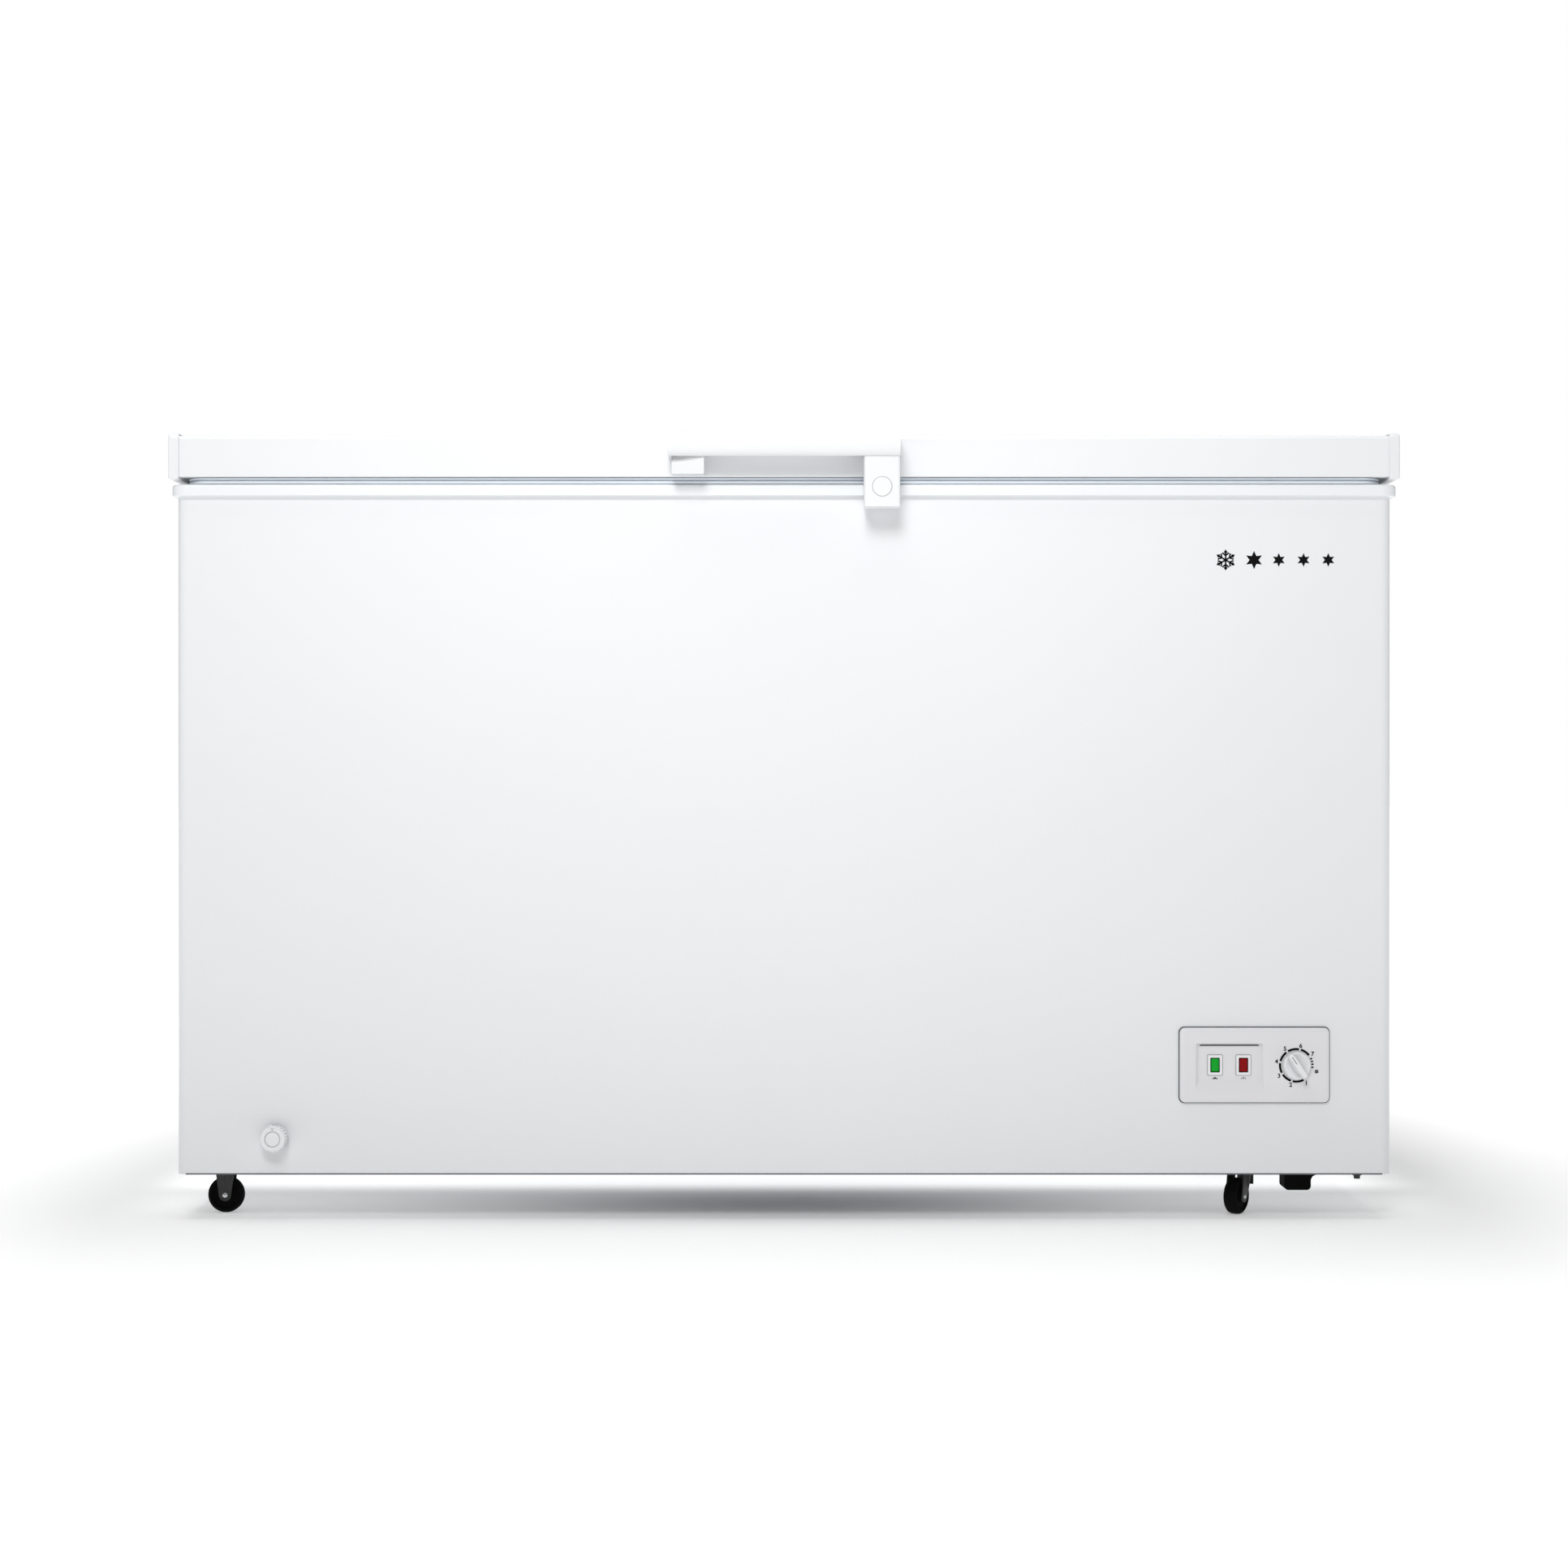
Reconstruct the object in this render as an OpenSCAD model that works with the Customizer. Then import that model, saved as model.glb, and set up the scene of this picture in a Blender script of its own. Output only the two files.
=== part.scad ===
// Chest freezer on castors: a foamed steel cabinet with a step over the compressor, a counterbalanced
// lid, front controls, a pull-out drain and a wire basket that slides along the rim.
// +X is to the right seen from the front, the front faces -Y, and z = 0 is the floor.

/* [Cabinet] */
// Width of the steel cabinet
cabinet_w = 1326; // [1000:1:1600]
// Depth of the steel cabinet, front to back
cabinet_d = 650; // [540:1:800]
// Height of the steel cabinet's walls
cabinet_h = 740; // [600:1:900]
// Height of the cabinet's lower edge above the floor
ground_gap = 50; // [42:1:60]
// Radius of the cabinet's upright corners
cabinet_r = 12; // [6:1:25]
// Thickness of the painted steel sheet
skin_t = 0.8; // [0.5:0.1:1.5]
// Width of the hem turned in under a sheet's edge
hem_w = 11; // [6:1:16]
// How far the wrap returns onto the back at each side
rear_return = 26; // [20:1:60]
// How far the base panel sits above the cabinet's lower edge
base_recess = 10; // [4:1:16]

/* [Tub] */
// Thickness of the insulated walls
wall_t = 70; // [50:1:90]
// Thickness of the insulated floor
floor_t = 70; // [55:1:90]
// Thickness of the tub's sheet
liner_t = 1; // [0.6:0.1:2]
// Radius of the tub's upright corners
tub_r = 30; // [16:1:60]
// Width of the machine compartment, along X
bay_w = 250; // [225:1:300]
// Height of the machine compartment above the base panel
bay_h = 210; // [195:1:240]
// Thickness of the insulation between the compartment and the tub
step_t = 60; // [45:1:80]

/* [Refrigerant loops] */
// Size of the loop tube across
loop_d = 8; // [5:0.5:10]
// Number of loops round the tub
evaporator_loops = 6; // [3:1:10]
// Number of loops inside the wrap
condenser_loops = 5; // [3:1:8]
// Free space left beside a loop
loop_gap = 0.5; // [0.2:0.1:2]

/* [Top frame] */
// Height of the plastic frame on the rim
frame_h = 12.5; // [10:0.5:20]
// How far the frame stands out beyond the cabinet
frame_over = 6.5; // [3:0.5:12]
// Width of the ledge that carries the basket
ledge_w = 10; // [8:1:16]
// Depth of the ledge below the frame's top
ledge_drop = 6; // [4:0.5:8]
// Height of the frame's lip inside the tub
lip_h = 28; // [15:1:40]
// Thickness of the frame's lip
lip_t = 3; // [2:0.5:5]

/* [Lid] */
// How far the lid's end caps stand out beyond the cabinet, at each side
lid_side_over = 7.5; // [3:0.5:12]
// How far the lid's face stands out beyond the cabinet, front and back
lid_over = 7; // [3:0.5:12]
// Thickness of the lid
lid_t = 45; // [38:1:60]
// Gap between the frame and the lid, filled by the gasket
gasket_gap = 8; // [6:0.5:12]
// Radius along the lid's upper edges
lid_r = 4; // [2:0.5:8]
// Width of each end cap
cap_w = 11.5; // [8:0.5:20]
// Thickness of an end cap's outer wall
cap_t = 3; // [2:0.5:5]
// How far an end cap stands proud of the lid
cap_proud = 2.5; // [1:0.5:4]
// Thickness of the lid's inner panel
panel_t = 2; // [1.5:0.5:4]
// How far the inner panel drops into the tub
plug_drop = 22; // [12:1:30]
// Free space between the inner panel's plug and the tub's walls
plug_gap = 34; // [30:1:60]
// Width of the gasket
gasket_w = 20; // [14:1:28]
// How far the gasket is set back from the frame's edge
gasket_inset = 16.5; // [12:0.5:24]
// Free space under the gasket
seal_gap = 0.3; // [0.1:0.1:1]

/* [Handle] */
// Length of the grip bar
handle_w = 251; // [200:1:320]
// How far the grip bar stands out from the lid
handle_reach = 39; // [34:1:50]
// Height of the grip bar
grip_h = 25.5; // [20:0.5:32]
// Thickness of the grip bar's front
grip_t = 12; // [8:1:16]
// Thickness of the handle's top plate and ends
handle_t = 3.5; // [2.5:0.5:5]
// Width of the plain post at the left
post_w = 35; // [24:1:48]
// How far the posts stand out from the lid
post_reach = 31; // [24:1:33]
// Width of the lock housing at the right
lock_w = 39; // [32:0.5:50]
// How far the lock housing reaches below the lid
lock_drop = 35; // [24:1:40]
// Radius of the round cap on the lock housing
lock_cap_r = 10.5; // [8:0.5:14]

/* [Controls] */
// Width of the control panel
console_w = 163; // [150:1:180]
// Height of the control panel
console_h = 81.5; // [74:0.5:95]
// Place of the control panel's middle, from the cabinet's right side
console_inset = 150; // [130:1:160]
// Height of the control panel's middle above the cabinet's lower edge
console_z = 119.5; // [100:0.5:130]
// How far the control panel stands out
console_proud = 6; // [4:0.5:10]
// Radius of the knob
knob_r = 15; // [12:0.5:18]
// How far the knob stands out from the control panel
knob_proud = 15; // [10:1:20]
// Distance between the two lamps
lamp_pitch = 31; // [26:1:40]

/* [Drain] */
// Place of the drain, from the tub's left wall
drain_inset = 38; // [26:1:60]
// Height of the drain above the cabinet's lower edge
drain_z = 40.5; // [34:0.5:45]
// Radius of the drain dial
dial_r = 15; // [12:0.5:18]
// How far the drain dial stands out
dial_proud = 20; // [14:1:26]
// Outer radius of the drain tube
drain_tube_r = 9; // [7:0.5:10]
// How far the drain tube pulls out
drain_travel = 16; // [10:1:20]

/* [Castors] */
// Radius of the castor wheels
wheel_r = 20; // [15:0.5:21]
// Width of the castor wheels
wheel_w = 15; // [10:1:20]
// Radius of the castor axles
axle_r = 2.5; // [2:0.5:4]
// Radial clearance of a running fit
run_gap = 0.05; // [0.02:0.01:0.1]
// Offset of a swivel castor's axle from its turning axis
trail = 16; // [12:1:20]
// Place of the left castors, from the cabinet's left side
roller_inset = 43; // [42:1:90]
// Place of the right castors, from the cabinet's right side
swivel_inset = 153; // [130:1:180]
// Place of the castors, from the cabinet's front and back
castor_inset = 62; // [50:1:90]
// Resting direction of the front swivel castor, in degrees
swivel_front_turn = -34; // [-80:1:80]
// Resting direction of the rear swivel castor, in degrees
swivel_rear_turn = -35; // [-80:1:80]

/* [Hinges] */
// Place of each hinge, from the cabinet's side
hinge_inset = 220; // [150:1:300]
// How far the hinges stand out at the back
hinge_reach = 30; // [28:1:40]
// Width of the hinge channel
hinge_w = 44; // [36:1:60]
// Height of the hinge channel
hinge_h = 150; // [120:1:180]
// Thickness of the hinge steel
hinge_t = 2.5; // [2:0.5:4]
// Radius of the hinge pins
pin_r = 3; // [2.5:0.5:4]
// Distance of the pin from the cabinet's back
pin_out = 19; // [18.5:0.5:20]
// Greatest radius of the hinge cam
cam_r = 12; // [11.5:0.5:12]
// How far the cam lets the plunger rise, in mm per radian of lid travel
cam_rise = 3.5; // [2:0.5:3.5]

/* [Basket] */
// Length of the wire basket along the freezer
basket_l = 320; // [240:1:400]
// Depth of the wire basket
basket_h = 190; // [140:1:240]
// Place of the basket's middle, from the tub's left wall
basket_inset = 190; // [170:1:260]
// Thickness of the basket's thin wires
wire_d = 3; // [2:0.5:4]
// Thickness of the basket's rim and hook wires
rim_d = 6; // [4:0.5:7]
// Free space between the basket and the tub
basket_gap = 12; // [8:1:20]

/* [Hidden] */

$fn = 64;
cut = 1;                // how far a cutting shape passes through a face
sharp_r = 1;            // least radius of an inner corner

white = [0.96, 0.97, 0.97];
cool_white = [0.9, 0.91, 0.92];
black = [0.07, 0.07, 0.08];
dark_grey = [0.25, 0.26, 0.27];
steel = [0.72, 0.73, 0.74];
copper = [0.72, 0.45, 0.3];

// Levels
cab_z0 = ground_gap;
cab_z1 = cab_z0 + cabinet_h;
base_z = cab_z0 + base_recess;
frame_z1 = cab_z1 + frame_h;
ledge_z = frame_z1 - ledge_drop;
lid_z0 = frame_z1 + gasket_gap;
lid_z1 = lid_z0 + lid_t;
tub_z0 = base_z + floor_t;

// Depth positions: the origin is midway between the handle's front and the hinges' back
overall_d = cabinet_d + lid_over + handle_reach + hinge_reach;
front_y = -overall_d / 2 + handle_reach + lid_over;
rear_y = front_y + cabinet_d;
mid_y = (front_y + rear_y) / 2;
lid_w = cabinet_w + 2 * lid_side_over;
lid_y0 = front_y - lid_over;
lid_y1 = rear_y + lid_over;

// Tub and machine compartment
tub_w = cabinet_w - 2 * wall_t;
tub_d = cabinet_d - 2 * wall_t;
bay_x0 = cabinet_w / 2 - skin_t - bay_w;
bay_z1 = base_z + bay_h;
step_x = bay_x0 - step_t;
step_z = bay_z1 + step_t;
loop_margin = 45;       // from the step or the rim to the nearest loop
loops_z0 = step_z + loop_margin;
loops_z1 = cab_z1 - loop_margin;

// Machine compartment's fittings
deck_t = 2;
machine_x = bay_x0 + bay_w / 2;
machine_back = 70;      // from the cabinet's middle back to the compressor's middle
machine_y = mid_y + machine_back;
grommet_h = 14;
grommet_r = 12;
grommet_x = 62;
grommet_y = 84;
feet_z = base_z + deck_t + grommet_h;
feet_t = 2.5;
can_r = 72;
can_h = 140;
can_stretch = 34;       // offset of the two ends of the compressor's oval shell
bolt_r = 3;
bolt_head_r = 4.6;
bolt_head_t = 3;

// Control panel's fittings
console_x = cabinet_w / 2 - console_inset;
console_mid_z = cab_z0 + console_z;
console_y = front_y - console_proud;
lamp_offset = 27.5;     // from the panel's middle to the recess's
lamp_x = console_x - lamp_offset;
lamp_w = 16;
lamp_h = 22;
lens_w = 10;
lens_h = 15.7;
recess_w = 73;
recess_h = 48;
recess_d = 3.5;
knob_offset = 45;       // from the panel's middle to the knob
knob_x = console_x + knob_offset;
shaft_r = 3;
shaft_gap = 0.05;
console_back = 14;      // depth of the panel's tray behind the sheet

// Drain
drain_x = -tub_w / 2 + drain_inset;
drain_mid_z = cab_z0 + drain_z;
sleeve_t = 2;
sleeve_r = drain_tube_r + run_gap + sleeve_t;
sump_inset = 60;        // from the tub's front wall to the sump
sump_y = front_y + wall_t + sump_inset;
sump_r = 12;
plug_flange_r = 20;
plug_flange_t = 3;

// Castors
castor_plate_t = 2;
castor_front_y = front_y + castor_inset;
castor_rear_y = rear_y - castor_inset;
roller_x = -cabinet_w / 2 + roller_inset;
swivel_x = cabinet_w / 2 - swivel_inset;
cheek_t = 2;
cheek_gap = 1;          // free space at each side of a wheel
fork_top_r = 13;
cheek_end_r = 6.5;
crown_t = 3;
kingpin_r = 5;
kingpin_l = 9;
kingpin_head_r = 7.5;
kingpin_head_t = 1.5;
race_r = 14;
race_t = 2;
race_gap = 0.3;
plate_half = 20;        // half of a castor plate's side
plate_hole = 14.8;      // distance of the castor's bolts from its middle

// Hinges
hinge_x = cabinet_w / 2 - hinge_inset;
pin_drop = 4.5;         // from the frame's top down to the pin
pin_y = rear_y + pin_out;
pin_z = frame_z1 - pin_drop;
barrel_r = 6.5;
barrel_l = hinge_w - 2 * hinge_t - 1;
hinge_flange_w = 72;
cam_w = 10;
cam_gap = 1.2;
cam_sweep = 100;        // degrees of cam behind the contact point
plunger_top = pin_z - cam_r - cam_gap;
plunger_cap_r = 7;
plunger_cap_t = 5;
rod_r = 3;
rod_gap = 0.5;
spring_l = 62;
spring_r = 6.5;
spring_bore = 4;
seat_t = 3;
seat_z = plunger_top - plunger_cap_t - spring_l;
rod_tail = 14;
arm_plate_w = 62;
arm_plate_h = 34;
screw_r = 2;
screw_head_r = 4;
screw_head_t = 2;

// Basket
basket_x = -tub_w / 2 + basket_inset;
basket_d = tub_d - 2 * basket_gap;
basket_r = max(tub_r - basket_gap, rim_d);  // radius of the basket's upright corners
hook_drop = 34;         // from the ledge down to the basket's rim
rim_z = ledge_z - hook_drop;
basket_z0 = rim_z - basket_h;
mesh_pitch = 48;
hook_pitch = 120;
hook_t = rim_d - 1.3;   // height of a hook's bar on the ledge
hook_gap = 2;           // from a hook's end to the ledge's end
basket_rest = 0.3;      // gap between the hooks and the ledge

// ---- helpers -------------------------------------------------------------------------------------

// Rectangle with round corners, centred
module round_rect(w, d, r) {
    square([w - 2 * r, d], center = true);
    square([w, d - 2 * r], center = true);
    for (sx = [-1, 1], sy = [-1, 1])
        translate([sx * (w / 2 - r), sy * (d / 2 - r)])
            circle(r);
}

// Upright prism on a rounded rectangle, from z0 to z1, centred on the cabinet
module prism(w, d, r, z0, z1) {
    translate([0, mid_y, z0])
        linear_extrude(z1 - z0)
            round_rect(w, d, max(r, sharp_r));
}

// Upright wall of thickness t whose outside is a rounded rectangle
module wall_ring(w, d, r, t, z0, z1) {
    translate([0, mid_y, z0])
        linear_extrude(z1 - z0)
            difference() {
                round_rect(w, d, r);
                round_rect(w - 2 * t, d - 2 * t, max(r - t, sharp_r));
            }
}

// Box between two corners
module block(low, high) {
    translate(low)
        cube(high - low);
}

// Extrudes a (Y, Z) outline along X, or an (X, Z) outline along Y
module along_x(x0, x1) {
    translate([x0, 0, 0])
        rotate([90, 0, 90])
            linear_extrude(x1 - x0)
                children();
}

module along_y(y0, y1) {
    translate([0, y1, 0])
        rotate([90, 0, 0])
            linear_extrude(y1 - y0)
                children();
}

// Round bar along X or Y, starting at a point
module bar_x(at, r, l) {
    translate(at)
        rotate([0, 90, 0])
            cylinder(r = r, h = l);
}

module bar_y(at, r, l) {
    translate(at)
        rotate([-90, 0, 0])
            cylinder(r = r, h = l);
}

// The space inside the tub, grown outwards by g, up to the height top
module tub_space(g, top) {
    difference() {
        prism(tub_w + 2 * g, tub_d + 2 * g, tub_r + g, tub_z0 - g, top);
        block([step_x + g, front_y, tub_z0 - g - cut], [cabinet_w / 2, rear_y, step_z - g]);
    }
}

// The space of the machine compartment, grown by g to the left and upwards
module bay_space(g) {
    block([bay_x0 - g, front_y - cut, cab_z0 - cut], [cabinet_w / 2 + cut, rear_y + cut, bay_z1 + g]);
}

// ---- cabinet -------------------------------------------------------------------------------------

module cabinet_shell() {
    color(white)
        difference() {
            union() {
                wall_ring(cabinet_w, cabinet_d, cabinet_r, skin_t, cab_z0, cab_z1);
                wall_ring(cabinet_w, cabinet_d, cabinet_r, hem_w, cab_z0, cab_z0 + skin_t);
            }
            block([-cabinet_w / 2 + rear_return, rear_y - hem_w - cut, cab_z0 - cut],
                [cabinet_w / 2 - rear_return, rear_y + cut, cab_z1 + cut]);
            console_cutout(0);
            bar_y([drain_x, front_y - cut, drain_mid_z], sleeve_r, hem_w + 2 * cut);
            vent_cutout();
        }
}

// Opening in the front for the control panel's tray
module console_cutout(g) {
    translate([console_x, 0, console_mid_z])
        along_y(front_y - cut, front_y + skin_t + cut)
            square([console_w - 12 + 2 * g, console_h - 12 + 2 * g], center = true);
}

vent_d = 200;
vent_h = 120;
vent_up = 86;           // from the base panel up to the grille's middle
vent_mid_z = base_z + vent_up;
vent_lip = 8;

module vent_cutout() {
    translate([0, machine_y, vent_mid_z])
        along_x(cabinet_w / 2 - skin_t - cut, cabinet_w / 2 + cut)
            square([vent_d, vent_h], center = true);
}

slot_count = 9;
slot_pitch = 14;
slot_l = 90;
slot_h = 5;
slot_up = 30;           // from the base panel up to the lowest slot
gland_in_x = 62;        // from the cabinet's side to the gland
gland_up = 52;          // from the base panel up to the gland
gland_x = cabinet_w / 2 - gland_in_x;
gland_z = base_z + gland_up;
gland_r = 9;
cord_r = 4.2;

module rear_panel() {
    half = cabinet_w / 2 - rear_return;
    color(steel)
        difference() {
            union() {
                block([-half, rear_y - skin_t, cab_z0], [half, rear_y, cab_z1]);
                block([-half, rear_y - hem_w, cab_z0], [half, rear_y, cab_z0 + skin_t]);
            }
            for (i = [0 : slot_count - 1])
                translate([machine_x - slot_l, rear_y - 2 * skin_t, base_z + slot_up + i * slot_pitch])
                    cube([slot_l, 2 * skin_t + cut, slot_h]);
            bar_y([gland_x, rear_y - hem_w / 2, gland_z], gland_r, hem_w);
        }
}

module base_panel() {
    half = cabinet_w / 2 - skin_t;
    color(steel)
        intersection() {
            prism(2 * half, cabinet_d - 2 * skin_t, cabinet_r - skin_t, cab_z0, cab_z1);
            along_y(front_y, rear_y)
                polygon([[-half, base_z], [bay_x0, base_z], [bay_x0, bay_z1], [half, bay_z1],
                    [half, bay_z1 + skin_t], [bay_x0 - skin_t, bay_z1 + skin_t],
                    [bay_x0 - skin_t, base_z + skin_t], [-half, base_z + skin_t]]);
        }
}

module inner_liner() {
    color(cool_white)
        difference() {
            union() {
                tub_space(liner_t, cab_z1);
                prism(cabinet_w - 2 * skin_t, cabinet_d - 2 * skin_t, cabinet_r - skin_t,
                    cab_z1 - liner_t, cab_z1);
            }
            tub_space(0, cab_z1 + cut);
            translate([drain_x, sump_y, tub_z0 - liner_t - cut])
                cylinder(r = sump_r, h = liner_t + 2 * cut);
        }
}

module insulation_foam() {
    band = loop_d + loop_gap;
    color([0.93, 0.87, 0.62])
        difference() {
            prism(cabinet_w - 2 * skin_t, cabinet_d - 2 * skin_t, cabinet_r - skin_t,
                base_z + skin_t, cab_z1 - liner_t);
            bay_space(skin_t);
            tub_space(liner_t, cab_z1);
            prism(tub_w + 2 * (liner_t + band), tub_d + 2 * (liner_t + band), tub_r + liner_t + band,
                loops_z0 - loop_d, loops_z1 + loop_d);
            wall_ring(cabinet_w - skin_t, cabinet_d - skin_t, cabinet_r, band + skin_t / 2,
                loops_z0 - loop_d, loops_z1 + loop_d);
            drain_bore(sleeve_r);
        }
}

module top_frame() {
    lip_gap = 1;
    inner_w = tub_w - 2 * (lip_gap + lip_t);
    inner_d = tub_d - 2 * (lip_gap + lip_t);
    color(white)
        difference() {
            union() {
                prism(cabinet_w + 2 * frame_over, cabinet_d + 2 * frame_over, cabinet_r + frame_over,
                    cab_z1, frame_z1);
                prism(tub_w - 2 * lip_gap, tub_d - 2 * lip_gap, tub_r - lip_gap,
                    cab_z1 - lip_h, cab_z1 + cut);
            }
            prism(inner_w, inner_d, tub_r - lip_gap - lip_t, cab_z1 - lip_h - cut, frame_z1 + cut);
            prism(inner_w + 2 * ledge_w, inner_d + 2 * ledge_w, tub_r + ledge_w, ledge_z, frame_z1 + cut);
        }
}

// Level loops joined by one riser; the outside of a loop is w by d
module loop_coil(w, d, r, count) {
    pitch = (loops_z1 - loops_z0 - loop_d) / (count - 1);
    for (i = [0 : count - 1])
        wall_ring(w, d, r, loop_d, loops_z0 + i * pitch, loops_z0 + i * pitch + loop_d);
    translate([0, mid_y + d / 2 - loop_d, loops_z0])
        cube([loop_d, loop_d, loops_z1 - loops_z0]);
}

module evaporator_tube() {
    g = liner_t + loop_d;
    color(steel)
        loop_coil(tub_w + 2 * g, tub_d + 2 * g, tub_r + g, evaporator_loops);
}

module condenser_tube() {
    color(steel)
        loop_coil(cabinet_w - 2 * skin_t, cabinet_d - 2 * skin_t, cabinet_r - skin_t, condenser_loops);
}

louvre_count = 7;
louvre_t = 2;
louvre_tilt = 35;
grille_depth = 8;

module vent_grille() {
    pitch = vent_h / louvre_count;
    x1 = cabinet_w / 2 + louvre_t;
    color(white)
        difference() {
            union() {
                translate([0, machine_y, vent_mid_z])
                    along_x(cabinet_w / 2, x1)
                        square([vent_d + 2 * vent_lip, vent_h + 2 * vent_lip], center = true);
                translate([0, machine_y, vent_mid_z])
                    along_x(cabinet_w / 2 - grille_depth, x1)
                        square([vent_d, vent_h], center = true);
            }
            for (i = [0 : louvre_count - 1])
                translate([cabinet_w / 2, machine_y, vent_mid_z - vent_h / 2 + (i + 0.5) * pitch])
                    rotate([0, louvre_tilt, 0])
                        cube([4 * grille_depth, vent_d - 2 * vent_lip, pitch - 3 * louvre_t], center = true);
        }
}

// ---- machine compartment -------------------------------------------------------------------------

deck_flange = 18;       // height of the deck's front and rear flanges
deck_slot_w = 8;
deck_slot_l = 120;
deck_slot_pitch = 18;

module compressor_deck() {
    x1 = cabinet_w / 2 - skin_t;
    color(steel)
        difference() {
            intersection() {
                prism(cabinet_w - 2 * skin_t, cabinet_d - 2 * skin_t, cabinet_r - skin_t, cab_z0, cab_z1);
                union() {
                    block([bay_x0, front_y, base_z], [x1, rear_y, base_z + deck_t]);
                    for (y = [front_y + hem_w, rear_y - hem_w - deck_t])
                        block([bay_x0, y, base_z], [x1, y + deck_t, base_z + deck_flange]);
                }
            }
            for (sx = [-1, 1], sy = [-1, 1])
                translate([machine_x + sx * grommet_x, machine_y + sy * grommet_y, base_z - cut])
                    cylinder(r = bolt_r, h = deck_t + 2 * cut);
            for (i = [-2 : 2])
                translate([machine_x + i * deck_slot_pitch, machine_y, base_z + deck_t / 2])
                    cube([deck_slot_w, deck_slot_l, deck_t + 2 * cut], center = true);
        }
}

feet_margin = 15;       // from a foot's bolt to the edge of the feet plate
feet_r = 14;
foot_gap = 2;           // radial gap round the bolt in a foot

module compressor() {
    color(black) {
        hull()
            for (sy = [-1, 1])
                translate([machine_x, machine_y + sy * can_stretch / 2, feet_z + feet_t])
                    rotate_extrude($fn = 40)
                        polygon([[0, 0], [can_r - 14, 0], [can_r - 4, 10], [can_r, 30], [can_r, can_h - 46],
                            [can_r - 5, can_h - 22], [can_r - 22, can_h - 6], [0, can_h]]);
        difference() {
            translate([machine_x, machine_y, feet_z])
                linear_extrude(feet_t)
                    round_rect(2 * (grommet_x + feet_margin), 2 * (grommet_y + feet_margin), feet_r);
            for (sx = [-1, 1], sy = [-1, 1])
                translate([machine_x + sx * grommet_x, machine_y + sy * grommet_y, feet_z - cut])
                    cylinder(r = bolt_r + foot_gap, h = feet_t + 2 * cut);
        }
    }
}

module compressor_grommets() {
    color(dark_grey)
        for (sx = [-1, 1], sy = [-1, 1])
            translate([machine_x + sx * grommet_x, machine_y + sy * grommet_y, base_z + deck_t])
                difference() {
                    cylinder(r = grommet_r, h = grommet_h);
                    translate([0, 0, -cut])
                        cylinder(r = bolt_r, h = grommet_h + 2 * cut);
                }
}

relay_w = 26;
relay_l = 60;
relay_up = 40;          // from the compressor's feet to the relay cover
relay_h = 60;
relay_in = 6;           // how far the relay cover reaches round the shell

module relay_cover() {
    x1 = machine_x - can_r;
    color(black)
        difference() {
            translate([x1 - relay_w, machine_y - relay_l / 2, feet_z + relay_up])
                cube([relay_w + relay_in, relay_l, relay_h]);
            hull()
                for (sy = [-1, 1])
                    translate([machine_x, machine_y + sy * can_stretch / 2, feet_z])
                        cylinder(r = can_r, h = can_h, $fn = 40);
        }
}

drier_in = 24;          // from the compartment's wall to the drier
drier_back = 130;       // from the compressor's middle to the drier
drier_up = 70;          // from the base panel up to the drier
drier_x = bay_x0 + drier_in;
drier_y = machine_y + drier_back;
drier_z = base_z + drier_up;
drier_r = 9;
drier_l = 80;
pipe_r = 3;

drier_neck = 12;        // length of the drier's straight necks
drier_cone = 22;        // from the drier's end to its full width

module filter_drier() {
    color(copper)
        translate([drier_x, drier_y, drier_z])
            rotate_extrude()
                polygon([[0, 0], [pipe_r, 0], [pipe_r, drier_neck], [drier_r, drier_cone],
                    [drier_r, drier_l - drier_cone], [pipe_r, drier_l - drier_neck], [pipe_r, drier_l],
                    [0, drier_l]]);
}

// Pipe through a list of points, with a slightly larger fitting ball at each bend
module pipe_run(points) {
    for (i = [0 : len(points) - 2]) {
        run = points[i + 1] - points[i];
        l = norm(run);
        translate(points[i])
            rotate([0, acos(run.z / l), atan2(run.y, run.x)])
                cylinder(r = pipe_r, h = l, $fn = 24);
    }
    for (i = [1 : len(points) - 2])
        translate(points[i])
            sphere(pipe_r * 1.2, $fn = 24);
}

stub_down = 60;         // from the compressor's top to its discharge stub
stub_pitch = 30;        // between the compressor's two stubs, sideways and in height
drier_loop = 50;        // width of the loop under the drier
near_bend = 24;         // from the shell back to each pipe's bend
far_bend = 40;

module refrigerant_pipes() {
    top = bay_z1;
    rise = feet_z + feet_t + can_h - stub_down;
    loop_z = drier_z - stub_pitch;
    suction_x = machine_x + stub_pitch;
    rear = machine_y + can_stretch / 2 + can_r;
    color(copper) {
        pipe_run([[drier_x, drier_y, drier_z + drier_l], [drier_x, drier_y, top]]);
        pipe_run([[drier_x, drier_y, drier_z], [drier_x, drier_y, loop_z],
            [drier_x + drier_loop, drier_y, loop_z], [drier_x + drier_loop, drier_y, top]]);
        pipe_run([[machine_x, rear, rise], [machine_x, rear + near_bend, rise],
            [machine_x, rear + near_bend, top]]);
        pipe_run([[suction_x, rear, rise - stub_pitch], [suction_x, rear + far_bend, rise - stub_pitch],
            [suction_x, rear + far_bend, top]]);
    }
}

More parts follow.
